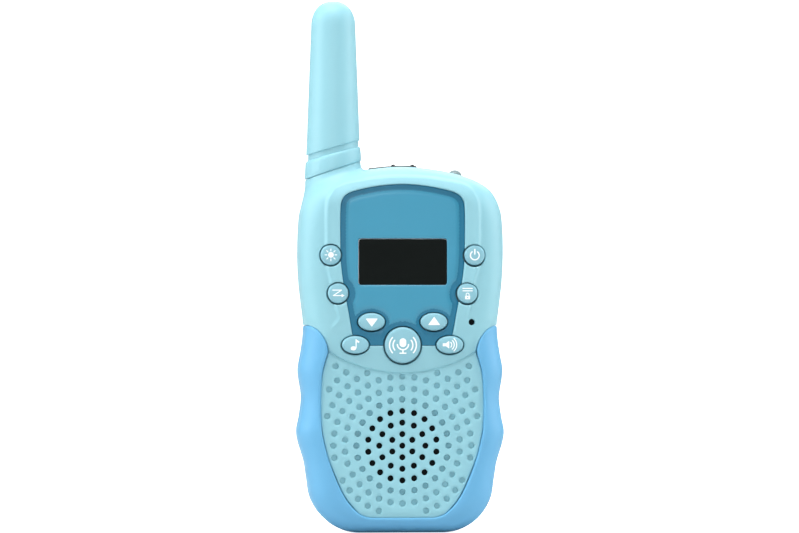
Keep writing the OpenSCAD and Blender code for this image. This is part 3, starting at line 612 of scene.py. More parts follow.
def front_case_shell():
    window_edge = offset_loop(WINDOW, -SEAT_EDGE)
    lines = list(BODY_LINES) + [(window_edge, True)] + rings(WINDOW, [SEAT_EDGE + d
                                                                      for d in (0.1, 0.25, 0.5)])
    lines += [seam_line(d) for d in (0.0, 0.12, 0.3)]
    lines += [smile_line(d) for d in (0, 0.1, 0.35, 0.6, 0.88)]
    lines += [(offset_loop(LENS, d), True) for d in (-0.08, -0.02, 0.06, 0.18, 0.4)]
    lines += [(offset_loop(SURROUND, d), True) for d in (-0.95, -0.6, -0.3, -0.05, 0.2, 0.45, 0.85, 1.3)]
    lines += [(rounded_rect(0, SCREEN_Z, 13, 7, 0.8), True)]
    for name in KEYS:
        lines += [key_line(name, d) for d in (0, 0.07, 0.2, 0.4)]
    lines += [(circle(*MIC, 0.9 + d, 24), True) for d in (0, 0.07, 0.2)]
    for x, z in SOUND_HOLES:
        lines += [(circle(x, z, HOLE_R + d, 20), True) for d in (0, 0.07, 0.16)]
    for x, z, _ in DIMPLES:
        lines += [(circle(x, z, r, 20), True) for r in (0.70, 0.82, 0.91, 1.0)]

    def keep(p):
        ok = (signed_distance(p, OUTLINE) < 0) & (signed_distance(p, window_edge) < 0)
        ok &= p[:, 1] < seam_height(p[:, 0])
        for name in KEYS:
            ok &= key_gap(p, name) > 0
        ok &= np.hypot(p[:, 0] - MIC[0], p[:, 1] - MIC[1]) > 0.9 * math.cos(math.pi / 24)
        ok &= nearest(p, SOUND_HOLES)[0] > HOLE_R * math.cos(math.pi / 20)
        return ok & (rect_distance(p, 0, SCREEN_Z, 13, 7, 0.8) > 0)

    def fill(p):
        return (signed_distance(p, OUTLINE) < -2.7) & (signed_distance(p, window_edge) < -0.5)

    points, faces = sheet(lines, keep, fill, 0.8)
    in_panel = (np.hypot(points[:, 0], points[:, 1] - SMILE_Z) > SMILE_R) & (points[:, 1] < 51.6)
    inner = np.where(in_panel, PANEL_INNER_DROP, 0.0)
    below_seam = seam_height(points[:, 0]) - points[:, 1]
    sink = np.interp(below_seam, [0, 0.12, 0.3], [0.16, 0.05, 0]) * (points[:, 0] < -9)
    return body_shell(points, faces, front_drop(points), WALL, inner, sink)


# ---------------------------------------------------------------------------
# Grips: one frame round the lower half, both sides joined at the middle
# ---------------------------------------------------------------------------


def grip_half(window):
    edge = offset_loop(window, SEAT_EDGE)
    lines = list(BODY_LINES) + [(edge, True)]
    lines += [(offset_loop(window, SEAT_EDGE + d), True) for d in (0.1, 0.28, 0.6, 1.0)]

    def keep(p):
        return ((signed_distance(p, OUTLINE) < 0) & (signed_distance(p, edge) > 0)
                & (p[:, 1] < 59.5))

    def fill(p):
        return (signed_distance(p, OUTLINE) < -2.7) & (signed_distance(p, edge) > 0.6)

    points, faces = sheet(lines, keep, fill, 0.8)
    out = signed_distance(points, window) - SEAT_EDGE
    sink = np.interp(out, [0, 0.1, 0.28, 0.6, 1.0], [0.42, 0.2, 0.07, 0.01, 0])
    return body_shell(points, faces, np.zeros(len(points)), GRIP_T, sink=sink, joined=True)

# ---------------------------------------------------------------------------
# Rear case, with the battery bay, and the door that closes it
# ---------------------------------------------------------------------------

DOOR_SEAT_Y = 11.65
KNUCKLE_Y, KNUCKLE_Z = 11.85, 10.75
KNUCKLE_HALF, KNUCKLE_R = 16.5, 1.15
BAY = (21.45, 12.35, 60.7)
REAR_SCREWS = np.array([(-24, 72.5), (24, 72.5), (-12, 6.9), (12, 6.9)])
DOOR_SCREW_Z = 64.6


def rounded(points, radius):
    """A closed polygon with every corner rounded; radius may be one number or one per corner."""
    out = []
    pts = np.asarray(points, float)
    radii = np.broadcast_to(radius, len(pts))
    for i, p in enumerate(pts):
        a, b = pts[i - 1] - p, pts[(i + 1) % len(pts)] - p
        la, lb = np.linalg.norm(a), np.linalg.norm(b)
        a, b = a / la, b / lb
        half = math.acos(np.clip(a @ b, -1, 1)) / 2
        cut = min(radii[i] / math.tan(half), 0.49 * la, 0.49 * lb)
        r = cut * math.tan(half)
        centre = p + (a + b) / np.linalg.norm(a + b) * r / math.sin(half)
        start, end = p + a * cut - centre, p + b * cut - centre
        for t in np.linspace(0, 1, 8):
            v = start * (1 - t) + end * t
            out.append(centre + v / np.linalg.norm(v) * r)
    return np.array(out)


def fine(loop, spacing=0.7):
    """Adds points along the long sides of a closed loop, keeping the points it has."""
    out = []
    for a, b in zip(loop, np.roll(loop, -1, 0)):
        n = max(1, int(math.ceil(np.linalg.norm(b - a) / spacing)))
        out += [a + (b - a) * k / n for k in range(n)]
    return np.array(out)


def door_loop(grow):
    g = grow
    half, tab = 21.9 + g, 5.5 + g
    corners = [(KNUCKLE_HALF + g, KNUCKLE_Z - KNUCKLE_R - g), (KNUCKLE_HALF + g, 12.6 - g), (half, 12.6 - g),
               (half, 62.6 + g), (tab, 62.6 + g), (tab, 67.5 + g)]
    corners += [(-x, z) for x, z in reversed(corners)]
    radii = [0.2, 0.3, 2.5 + g, 2.5 + g, 1.2 - g, 2.0 + g]
    return fine(rounded(corners, radii + radii[::-1]))


DOOR = door_loop(0)
DOOR_SEAT = door_loop(0.15)
BAY_LOOP = fine(rounded([(BAY[0], BAY[1]), (BAY[0], BAY[2]), (-BAY[0], BAY[2]), (-BAY[0], BAY[1])], 0.6))


def rear_drop(points, depth):
    x, z = points[:, 0], points[:, 1]
    seat = signed_distance(points, DOOR_SEAT)
    bay = signed_distance(points, BAY_LOOP)
    floor = np.full(len(points), DOOR_SEAT_Y)
    reach = (KNUCKLE_R + 0.15) ** 2 - (z - KNUCKLE_Z) ** 2
    channel = (reach > 0) & (np.abs(x) < KNUCKLE_HALF + 0.16)
    floor = np.where(channel, np.minimum(floor, KNUCKLE_Y - np.sqrt(np.maximum(reach, 0))), floor)
    into_bay = 1 - np.clip((bay + 0.06) / 0.06, 0, 1)
    floor = floor * (1 - into_bay) + 1.0 * into_bay
    tapped = np.hypot(x, z - DOOR_SCREW_Z)
    floor = np.where(tapped < 1.13, 6.0, floor)
    edge = np.interp(signed_distance(points, REAR_WINDOW) + SEAT_EDGE,
                     [-0.5, -0.25, -0.1, 0], [0, 0.04, 0.14, 0.36])
    edge += np.interp(seat, [0, 0.08, 0.2, 0.35], [0.2, 0.08, 0.02, 0])
    into_seat = 1 - np.clip((seat + 0.06) / 0.06, 0, 1)
    drop = edge * (1 - into_seat) + (depth - floor) * into_seat
    screw, _ = nearest(points, REAR_SCREWS)
    into_screw = 1 - np.clip((screw - 1.9) / 0.06, 0, 1)
    drop = drop + np.interp(screw, [1.96, 2.05, 2.25], [0.22, 0.08, 0]) * (1 - into_screw)
    return drop * (1 - into_screw) + (depth - 3.98) * into_screw


def rear_case_shell():
    window_edge = offset_loop(REAR_WINDOW, -SEAT_EDGE)
    lines = list(BODY_LINES) + [(window_edge, True)]
    lines += rings(REAR_WINDOW, [SEAT_EDGE + d for d in (0.1, 0.25, 0.5)])
    lines += [seam_line(d) for d in (0.0, 0.12, 0.3)]
    lines += [(offset_loop(DOOR_SEAT, d), True) for d in (-0.06, 0, 0.08, 0.2, 0.35, 1.5, 1.56)]
    lines += [(offset_loop(BAY_LOOP, d), True) for d in (-0.06, 0, 1.2, 1.26)]
    for z in (KNUCKLE_Z - 0.9, KNUCKLE_Z - 0.45, KNUCKLE_Z, KNUCKLE_Z + 0.45, KNUCKLE_Z + 0.9, 12.05):
        x = np.linspace(-KNUCKLE_HALF - 0.16, KNUCKLE_HALF + 0.16, 50)
        lines.append((np.column_stack([x, np.full(50, z)]), False))
    for x, z in REAR_SCREWS:
        lines += [(circle(x, z, r, 32), True) for r in (1.15, 1.9, 1.96, 2.05, 2.25, 2.9, 2.96)]
    lines += [(circle(0, DOOR_SCREW_Z, r, 20), True) for r in (1.1, 1.16, 2.3, 2.36)]

    def keep(p):
        ok = (signed_distance(p, OUTLINE) < 0) & (signed_distance(p, window_edge) < 0)
        ok &= p[:, 1] < seam_height(p[:, 0])
        return ok & (nearest(p, REAR_SCREWS)[0] > 1.15 * math.cos(math.pi / 32))

    def fill(p):
        return (signed_distance(p, OUTLINE) < -2.7) & (signed_distance(p, window_edge) < -0.5)

    points, faces = sheet(lines, keep, fill, 1.0)
    depth = skin(points)[0][:, 1]
    low = np.full(len(points), 50.0)
    seat = signed_distance(points, DOOR_SEAT)
    low = np.where(seat < 1.53, 9.7, low)
    bay = signed_distance(points, BAY_LOOP)
    low = np.where(bay < 1.23, 0.0, low)
    low = np.where(nearest(points, REAR_SCREWS)[0] < 2.93, 2.8, low)
    low = np.where(np.hypot(points[:, 0], points[:, 1] - DOOR_SCREW_Z) < 2.33, 4.8, low)
    below_seam = seam_height(points[:, 0]) - points[:, 1]
    sink = np.interp(below_seam, [0, 0.12, 0.3], [0.16, 0.05, 0]) * (points[:, 0] < -9)
    return body_shell(points, faces, rear_drop(points, depth), WALL, None, sink, inner_depth=low)


RIBS = [(-5.6, 57.6), (-5.6, 55.4), (-5.6, 53.2)]


def door_solid():
    """The battery door: its outer face follows the body, ribs and an arrow mark the thumb's place."""
    arrow = fine(rounded([(-2.6, 46.6), (2.6, 46.6), (0, 50.2)], 0.35), 0.5)
    bars = [fine(rounded([(-7, z - 0.5), (7, z - 0.5), (7, z + 0.5), (-7, z + 0.5)], 0.49), 0.5)
            for _, z in RIBS]
    lines = [(DOOR, True)] + rings(DOOR, (0.06, 0.16, 0.32))
    lines += [(offset_loop(arrow, d), True) for d in (0, -0.12)]
    for bar in bars:
        lines += [(offset_loop(bar, d), True) for d in (0.25, 0, -0.12)]
    lines += [(circle(0, DOOR_SCREW_Z, r, 24), True) for r in (1.05, 1.9, 1.96, 2.1)]
    for z in (KNUCKLE_Z - 0.8, KNUCKLE_Z - 0.4, KNUCKLE_Z, KNUCKLE_Z + 0.4, KNUCKLE_Z + 0.8, 11.89):
        x = np.linspace(-KNUCKLE_HALF + 0.4, KNUCKLE_HALF - 0.4, 45)
        lines.append((np.column_stack([x, np.full(45, z)]), False))

    def hole(p):
        return np.hypot(p[:, 0], p[:, 1] - DOOR_SCREW_Z)

    def keep(p):
        return (signed_distance(p, DOOR) < 0) & (hole(p) > 1.05 * math.cos(math.pi / 24))

    points, faces = sheet(lines, keep, lambda p: signed_distance(p, DOOR) < -0.6, 1.0)
    x, z = points[:, 0], points[:, 1]
    top = body_depth(points)
    bend = KNUCKLE_R ** 2 - (z - KNUCKLE_Z) ** 2
    top = np.where(z < KNUCKLE_Z, KNUCKLE_Y + np.sqrt(np.maximum(bend, 0)), top)
    top -= np.interp(signed_distance(points, DOOR), [-0.32, -0.16, -0.06, 0], [0, 0.03, 0.11, 0.3]) * (
        z > KNUCKLE_Z - 0.2)
    for bar in bars:
        s = signed_distance(points, bar)
        top += np.interp(s, [-0.12, 0, 0.25], [0.42, 0.2, 0])
    top -= np.interp(signed_distance(points, arrow), [-0.12, 0], [0.45, 0])
    top -= np.interp(hole(points), [1.9, 1.96, 2.1], [0.9, 0.12, 0])
    low = np.full(len(points), 11.7)
    knuckle = (bend > 0) & (np.abs(x) < KNUCKLE_HALF + 0.01)
    low = np.where(knuckle, np.minimum(low, KNUCKLE_Y - np.sqrt(np.maximum(bend, 0))), low)
    top = np.maximum(top, low + 0.06)
    outer = np.column_stack([x, top, z])
    inner = np.column_stack([x, low, z])
    return close_layers(faces, outer, inner)


# ---------------------------------------------------------------------------
# Turned shapes
# ---------------------------------------------------------------------------


def turned(profile, count, place):
    """A closed turned shape. profile runs from pole to pole as (radius, height) pairs, and
    place(radius, angle, height) gives each point's position."""
    verts, faces = [], []
    rings_at = []
    for r, h in profile:
        if r < 1e-9:
            rings_at.append([len(verts)])
            verts.append(place(0.0, 0.0, h))
        else:
            rings_at.append(list(range(len(verts), len(verts) + count)))
            verts += [place(r, 2 * math.pi * i / count, h) for i in range(count)]
    for a, b in zip(rings_at, rings_at[1:]):
        for i in range(count):
            j = (i + 1) % count
            if len(a) == 1:
                faces.append((a[0], b[j], b[i]))
            elif len(b) == 1:
                faces.append((a[i], a[j], b[0]))
            else:
                faces.append((a[i], a[j], b[j], b[i]))
    return verts, faces


SEAM_LIFT = 0.06
GROOVE_Z, GROOVE_TAN, GROOVE_R = 108.7, math.tan(math.radians(16)), 7.2


def antenna_shell():
    """Outer rows follow the slanted seam, then the slanted groove, and level out above it."""
    rows = []
    seam = SEAM_Z + SEAM_LIFT
    for up, inset in ((0, 0.12), (0.06, -0.04), (0.18, -0.14), (0.4, -0.2), (1.2, -0.22), (2.2, -0.2),
                      (3.2, -0.16)):
        t = up / 4.6
        rows.append((seam + up, SEAM_TAN * (1 - t) + GROOVE_TAN * t, inset, None))
    low, high = GROOVE_Z - 0.9, GROOVE_Z + 0.9
    for z, inset in ((low - 0.5, -0.12), (low - 0.25, -0.02), (low - 0.08, 0.16), (low + 0.1, None),
                     (GROOVE_Z, None), (high - 0.03, None), (high, 0.14), (high + 0.1, 0.03),
                     (high + 0.3, 0)):
        rows.append((z, GROOVE_TAN, inset, None))
    for z in np.arange(111.5, 144.1, 1.25):
        rows.append((z, GROOVE_TAN * float(1 - ramp(z, 109.9, 128)), 0, None))
    dome_low = 144.6
    for a in np.linspace(4, 90, 18):
        t = math.radians(a)
        rise = (ANT_TOP - dome_low) * math.sin(t) ** 1.0
        shrink = math.cos(t) ** 0.86
        rows.append((dome_low + rise, 0.0, 0, shrink))
    count = 96
    verts, faces = [], []
    levels = []

    def add_ring(points):
        levels.append(list(range(len(verts), len(verts) + len(points))))
        verts.extend(points)

    angles = [2 * math.pi * i / count for i in range(count)]
    bore = 4.0
    verts_pole_low = (ANT_X, 0.0, 143.5)
    add_ring([verts_pole_low])
    for z, slope in ((143.5, 0.0), (130.0, 0.0), (seam, SEAM_TAN)):
        add_ring([(ANT_X + bore * math.cos(a), bore * math.sin(a), z + slope * bore * math.cos(a))
                  for a in angles])
    for z, slope, inset, shrink in rows:
        ring_points = []
        if shrink is not None and shrink < 0.02:
            add_ring([(ANT_X, 0.0, ANT_TOP)])
            continue
        for a in angles:
            r = antenna_radius(z)
            for _ in range(3):
                r = antenna_radius(z + slope * r * math.cos(a))
            if inset is None:
                r = GROOVE_R
            else:
                r -= inset
            if shrink is not None:
                r = antenna_radius(dome_low) * shrink
            ring_points.append((ANT_X + r * math.cos(a), r * math.sin(a), z + slope * r * math.cos(a)))
        add_ring(ring_points)
    for a, b in zip(levels, levels[1:]):
        for i in range(count):
            j = (i + 1) % count
            if len(a) == 1:
                faces.append((a[0], b[j], b[i]))
            elif len(b) == 1:
                faces.append((a[i], a[j], b[0]))
            else:
                faces.append((a[i], a[j], b[j], b[i]))
    return verts, faces


# ---------------------------------------------------------------------------
# Keys and their symbols
# ---------------------------------------------------------------------------

KEY_TOP = 14.0
KEY_PROFILE = ((0.0, 11.4), (0.0, 12.9), (0.05, 13.3), (0.16, 13.56), (0.32, 13.72), (0.52, 13.79),
               (0.75, 13.83), (1.2, 13.88))


def key_surface(points, name):
    """Depth of a key's face at (x, z) points."""
    x, z = KEYS[name]
    a, b = KEY_SIZE[name]
    u, v = (points[:, 0] - x) / a, (points[:, 1] - z) / b
    t = np.clip(np.hypot(u, v), 0, 1)
    d = (1 - t) * min(a, b)
    table = KEY_PROFILE + ((min(a, b), 13.93),)
    return np.interp(d, [p[0] for p in table[1:]], [p[1] for p in table[1:]])


def key_solid(name):
    x, z = KEYS[name]
    a, b = KEY_SIZE[name]
    small = min(a, b)
    profile = [(0.0, 9.2)] + [(1.5, 9.2), (-0.55, 9.2), (-0.55, 10.0), (0.0, 10.0)]
    rows = [(None, 9.2), (small - 0.8, 9.2), (-0.55, 9.2), (-0.55, 10.0), (0.0, 10.0)]
    rows += list(KEY_PROFILE)
    rows.append((None, 13.93))
    profile = [(0.0 if d is None else 1.0, (d, y)) for d, y in rows]

    def place(r, angle, row):
        d, y = row
        if d is None:
            return (x, -y, z)
        return (x + (a - d) * math.cos(angle), -y, z + (b - d) * math.sin(angle))

    return turned(profile, 64, place)


def stroke(points, width, closed=False):
    """Outline of a line drawn with a round-ended pen."""
    p = np.asarray(points, float)
    if closed:
        return [offset_loop(resample(p, 0.15), width / 2), offset_loop(resample(p, 0.15), -width / 2)]
    tangent = np.gradient(p, axis=0)
    tangent /= np.linalg.norm(tangent, axis=1)[:, None]
    normal = np.column_stack([-tangent[:, 1], tangent[:, 0]]) * width / 2
    cap = [math.pi * k / 8 for k in range(1, 8)]
    out = list(p - normal)
    t, n = tangent[-1] * width / 2, normal[-1]
    out += [p[-1] - n * math.cos(c) + t * math.sin(c) for c in cap]
    out += list((p + normal)[::-1])
    t, n = -tangent[0] * width / 2, -normal[0]
    out += [p[0] - n * math.cos(c) + t * math.sin(c) for c in cap]
    return [np.array(out)]


def arc(x, z, r, start, end, count=16):
    a = np.radians(np.linspace(start, end, count))
    return np.column_stack([x + r * np.cos(a), z + r * np.sin(a)])


def polyline(points, width):
    """A bent line as overlapping straight strokes, so its corners stay clean."""
    return [stroke([a, ((a[0] + b[0]) / 2, (a[1] + b[1]) / 2), b], width)[0]
            for a, b in zip(points, points[1:])]


def symbol_solid(name, solid, cut=()):
    """A thin raised symbol on a key's face: the union of the solid loops, less the cut loops."""
    solid = [np.asarray(s, float) + KEYS[name] for s in solid]
    cut = [np.asarray(s, float) + KEYS[name] for s in cut]
    lines = [(s, True) for s in solid + cut]

    def keep(p):
        inside = np.zeros(len(p), bool)
        for s in solid:
            inside |= signed_distance(p, s) < 0
        for s in cut:
            inside &= signed_distance(p, s) > 0
        return inside

    points, faces = sheet(lines, keep, keep, 0.3)
    depth = key_surface(points, name)
    outer = np.column_stack([points[:, 0], -(depth + 0.05), points[:, 1]])
    inner = np.column_stack([points[:, 0], -(depth - 0.12), points[:, 1]])
    return close_layers(faces, outer, inner)


def triangle(size, up):
    h = size * 0.86
    pts = [(-size, -h * 0.62), (size, -h * 0.62), (0, h * 0.95)]
    if not up:
        pts = [(-x, -z) for x, z in pts]
    return fine(rounded(pts, 0.12), 0.4)


def bar(x0, z0, x1, z1, r=0.1):
    return rounded([(x0, z0), (x1, z0), (x1, z1), (x0, z1)], r)


SYMBOLS = {
    "down": ([triangle(1.75, False)], []),
    "up": ([triangle(1.75, True)], []),
    "call": ([ellipse(-0.62, -1.0, 0.78, 0.6, 20), bar(-0.02, -1.0, 0.28, 1.55, 0.08),
              rounded([(-0.02, 1.55), (-0.02, 0.95), (0.95, 0.45), (1.1, 0.95)], 0.1)], []),
    "talk": ([rounded([(-0.95, -0.55), (0.95, -0.55), (0.95, 1.95), (-0.95, 1.95)], 0.94)]
             + stroke(arc(0, 0.3, 1.6, 185, 355, 22), 0.38) + [bar(-0.19, -2.3, 0.19, -1.2), bar(-1.0, -2.45,
                                                                                              1.0, -2.1)]
             + stroke(arc(0.6, 0, 2.2, -38, 38), 0.38) + stroke(arc(-0.6, 0, 2.2, 142, 218), 0.38)
             + stroke(arc(0.6, 0, 3.2, -42, 42), 0.38) + stroke(arc(-0.6, 0, 3.2, 138, 222), 0.38), []),
    "monitor": ([rounded([(-2.1, -0.42), (-1.2, -0.42), (-0.25, -1.15), (-0.25, 1.15), (-1.2, 0.42),
                          (-2.1, 0.42)], 0.12)]
                + stroke(arc(-0.5, 0, 0.95, -45, 45), 0.28) + stroke(arc(-0.5, 0, 1.65, -48, 48), 0.28)
                + stroke(arc(-0.5, 0, 2.35, -48, 48), 0.28), []),
    "lamp": ([circle(0, 0, 0.8, 28)] + [stroke([(math.cos(t) * 1.15, math.sin(t) * 1.15),
                                                (math.cos(t) * 1.4, math.sin(t) * 1.4),
                                                (math.cos(t) * 1.65, math.sin(t) * 1.65)], 0.26)[0]
                                        for t in [math.pi * k / 4 for k in range(8)]], []),
    "scan": (polyline([(-1.5, 0.85), (0.95, 0.85), (-1.35, -0.7), (1.1, -0.7)], 0.27)
             + [rounded([(0.95, -1.2), (1.85, -0.7), (0.95, -0.2)], 0.06)], []),
    "menu": ([bar(-1.45, 1.2, 1.45, 1.48, 0.08), bar(-1.45, 0.52, 1.45, 0.8, 0.08), bar(-0.72, -1.75, 0.72, -0.75, 0.16)]
             + stroke(np.vstack([[(-0.42, -0.8)], arc(0, -0.42, 0.42, 180, 0, 14), [(0.42, -0.8)]]), 0.24),
             [circle(0, -1.22, 0.17, 14)]),
    "power": (stroke(arc(0, -0.1, 1.25, 128, 412, 44), 0.36)
              + [bar(-0.18, 0.1, 0.18, 1.75, 0.12)], []),
}


# ---------------------------------------------------------------------------
# Lens and screen
# ---------------------------------------------------------------------------

SCREEN_HALF = (12.6, 6.6)


def lens_drop(points):
    edge = -signed_distance(points, LENS) - 0.08
    near = edge.copy()
    for name, margin in (("scan", 0.1), ("menu", 0.1), ("talk", -0.3), ("call", 0.2), ("monitor", 0.2),
                         ("down", -0.7), ("up", -0.7)):
        near = np.minimum(near, key_gap(points, name) - margin)
    near = np.minimum(near, np.hypot(np.abs(points[:, 0]) - 7.4, points[:, 1] - 55.5) + 0.3)
    drop = 0.36 * (1 - ramp(near, 1.15, 2.6))
    drop += np.interp(edge, [0, 0.08, 0.22], [0.16, 0.05, 0])
    for name in KEYS:
        drop += np.interp(key_gap(points, name), [0, 0.08, 0.2], [0.12, 0.04, 0])
    window = rect_distance(points, 0, SCREEN_Z, *SCREEN_HALF, 0.8)
    return drop + np.interp(window, [0, 0.07, 0.18], [0.12, 0.04, 0])


def lens_solid():
    body = offset_loop(LENS, -0.08)
    lines = [(body, True)] + rings(LENS, (0.16, 0.3, 0.7, 1.23, 1.5, 1.8, 2.1, 2.4, 2.68))
    lines += [(key_line(name, d)[0], True) for name in KEYS for d in (0, 0.08, 0.2)]
    for name, margin in (("scan", 0.1), ("menu", 0.1), ("talk", -0.3), ("down", -0.7), ("up", -0.7)):
        lines += [key_line(name, margin + d) for d in (1.15, 1.45, 1.75, 2.1, 2.6)]
    lines += [(rounded_rect(0, SCREEN_Z, SCREEN_HALF[0] + d, SCREEN_HALF[1] + d, 0.8 + d), True)
              for d in (0, 0.07, 0.18)]

    def keep(p):
        ok = signed_distance(p, body) < 0
        for name in KEYS:
            ok &= key_gap(p, name) > 0
        return ok & (rect_distance(p, 0, SCREEN_Z, *SCREEN_HALF, 0.8) > 0)

    points, faces = sheet(lines, keep, lambda p: signed_distance(p, body) < -0.4, 0.6)
    outer = np.column_stack([points[:, 0], -(HALF - lens_drop(points)), points[:, 1]])
    inner = np.column_stack([points[:, 0], np.full(len(points), -11.6), points[:, 1]])
    return close_layers(faces, outer, inner)


def plate(loop, y_front, y_back, edge=0.08):
    """A flat plate with its front edge eased."""
    lines = [(loop, True)] + rings(loop, (edge,))
    points, faces = sheet(lines, lambda p: signed_distance(p, loop) < 0,
                          lambda p: signed_distance(p, loop) < -edge - 0.6, 1.6)
    rim = np.interp(signed_distance(points, loop), [-edge, 0], [0, edge])
    outer = np.column_stack([points[:, 0], y_front + rim, points[:, 1]])
    inner = np.column_stack([points[:, 0], np.full(len(points), y_back), points[:, 1]])
    return close_layers(faces, outer, inner)

# ---------------------------------------------------------------------------
# Small parts: rails, clip, hinge pins, jack cover, torch
# ---------------------------------------------------------------------------


def prism(loop, low, high, along="z"):
    """A closed straight solid over a loop, standing along z or lying along x or y."""
    n = len(loop)
    at = {"z": lambda p, h: (p[0], p[1], h), "y": lambda p, h: (p[0], h, p[1]),
          "x": lambda p, h: (h, p[0], p[1])}[along]
    verts = [at(p, low) for p in loop] + [at(p, high) for p in loop]
    faces = [tuple(range(n))[::-1], tuple(range(n, 2 * n))]
    faces += [(i, (i + 1) % n, n + (i + 1) % n, n + i) for i in range(n)]
    if along == "y":
        faces = [f[::-1] for f in faces]
    return verts, faces


def eased(part, width, segments=2, limit=30):
    """The same solid with its sharp edges rounded, and welded into one mesh."""
    work = bmesh.new()
    made = [work.verts.new(v) for v in part[0]]
    for face in part[1]:
        work.faces.new([made[i] for i in face])
    work.normal_update()
    angle = math.radians(limit)
    edges = [e for e in work.edges if e.is_manifold and e.calc_face_angle(0) > angle]
    bmesh.ops.bevel(work, geom=edges, offset=width, segments=segments, profile=0.5, affect="EDGES",
                    clamp_overlap=True)
    work.verts.index_update()
    out = [tuple(v.co) for v in work.verts], [tuple(v.index for v in f.verts) for f in work.faces]
    work.free()
    return out


def mark_sharp(mesh, sharp):
    work = bmesh.new()
    work.from_mesh(mesh)
    limit = math.radians(sharp)
    for face in work.faces:
        face.smooth = True
    for edge in work.edges:
        edge.smooth = not (edge.is_manifold and edge.calc_face_angle(0) > limit)
    if any(not e.is_manifold for e in work.edges):
        print("OPEN after shaping", mesh.name, sum(not e.is_manifold for e in work.edges))
    work.to_mesh(mesh)
    work.free()


def shaped(piece, parts, operation, sharp=38.0):
    """Cuts closed parts from a piece, or joins them to it."""
    verts, faces = merged(parts)
    mesh = bpy.data.meshes.new("tool")
    mesh.from_pydata([tuple(c * MM for c in v) for v in verts], [], faces)
    tool = bpy.data.objects.new("tool", mesh)
    bpy.context.scene.collection.objects.link(tool)
    step = piece.modifiers.new("shape", "BOOLEAN")
    step.operation, step.object = operation, tool
    step.solver = "MANIFOLD" if operation == "DIFFERENCE" else "EXACT"
    bpy.context.view_layer.update()
    result = bpy.data.meshes.new_from_object(
        piece.evaluated_get(bpy.context.evaluated_depsgraph_get()))
    piece.modifiers.clear()
    old = piece.data
    result.name = piece.name
    piece.data = result
    if not result.materials:
        result.materials.append(old.materials[0])
    bpy.data.objects.remove(tool)
    mark_sharp(result, sharp)
    return piece


RAIL_LOW, RAIL_HIGH = 88.0, 99.0
SLOT_FLOOR = 89.5


def rail_block():
    """The block the clip slides into: a T-slot open at the top, with a floor below it."""
    rim = [(-8.6, 12.2), (8.6, 12.2), (8.6, 16.2), (4.6, 16.2)]
    slot = [(4.6, 15.2), (6.6, 15.2), (6.6, 13.9), (-6.6, 13.9), (-6.6, 15.2), (-4.6, 15.2)]
    end = [(-4.6, 16.2), (-8.6, 16.2)]
    profile = rim + slot + end
    n = len(profile)
    keys = [("low", RAIL_LOW), ("floor", SLOT_FLOOR), ("top", RAIL_HIGH)]
    verts = [(x, y, z) for _, z in keys for x, y in profile]
    outer = [i for i in range(n) if profile[i] in rim + end]
    faces = [tuple(outer)[::-1]]
    for a, b in zip(outer, outer[1:] + outer[:1]):
        faces.append((a, b, n + b, n + a))
    for i in range(n):
        j = (i + 1) % n
        faces.append((n + i, n + j, 2 * n + j, 2 * n + i))
    faces.append(tuple(range(2 * n, 3 * n)))
    floor = [i for i in range(3, 11)]
    faces.append(tuple(n + i for i in floor)[::-1])
    used = sorted({i for f in faces for i in f})
    place = {old: new for new, old in enumerate(used)}
    part = [verts[i] for i in used], [tuple(place[i] for i in f) for f in faces]
    return eased(part, 0.3)


CLIP_LOOP = fine(rounded([(-7.5, 69.5), (7.5, 69.5), (8.3, 71.5), (9.4, 90), (9.4, 98.5), (7.6, 100.5),
                          (-7.6, 100.5), (-9.4, 98.5), (-9.4, 90), (-8.3, 71.5)],
                         [1.6, 1.6, 4, 20, 1.6, 1.6, 1.6, 1.6, 20, 4]))


def clip_plate():
    """The belt clip's spring plate, hooked at its foot, with a sunk face and grip bars."""
    panel = offset_loop(CLIP_LOOP, -1.7)
    panel = panel[(panel[:, 1] > 73.2) & (panel[:, 1] < 90.5)]
    panel = fine(rounded([(-6.0, 75.2), (6.0, 75.2), (7.2, 89.2), (-7.2, 89.2)], 1.4))
    bars = [fine(rounded([(-4.8, z - 0.4), (4.8, z - 0.4), (4.8, z + 0.4), (-4.8, z + 0.4)], 0.39), 0.5)
            for z in (94.2, 95.9, 97.6)]
    lines = [(CLIP_LOOP, True)] + rings(CLIP_LOOP, (0.08, 0.22, 0.45, 0.8))
    lines += [(offset_loop(panel, d), True) for d in (0, -0.15, -0.35)]
    for bar_loop in bars:
        lines += [(offset_loop(bar_loop, d), True) for d in (0.2, 0, -0.12)]
    points, faces = sheet(lines, lambda p: signed_distance(p, CLIP_LOOP) < 0,
                          lambda p: signed_distance(p, CLIP_LOOP) < -1.2, 0.8)
    z = points[:, 1]
    top = np.interp(z, [69.5, 70.3, 71.5, 99.2, 100.5], [17.3, 17.85, 18.3, 18.3, 17.8])
    low = np.interp(z, [69.5, 70.1, 70.8, 71.7, 72.4, 73.2, 74.2, 75.4],
                    [16.0, 15.0, 14.45, 14.3, 14.5, 15.2, 16.15, 16.5])
    s = signed_distance(points, CLIP_LOOP)
    ease = np.interp(s, [-0.8, -0.45, -0.22, -0.08, 0], [0, 0.04, 0.15, 0.3, 0.5])
    top -= ease
    low += ease * 0.7
    top -= np.interp(signed_distance(points, panel), [-0.35, -0.15, 0], [0.4, 0.32, 0])
    for bar_loop in bars:
        top += np.interp(signed_distance(points, bar_loop), [-0.12, 0, 0.2], [0.35, 0.18, 0])
    top = np.minimum(top, 18.3 + 0.35)
    return close_layers(faces, np.column_stack([points[:, 0], top, z]),
                        np.column_stack([points[:, 0], low, z]))


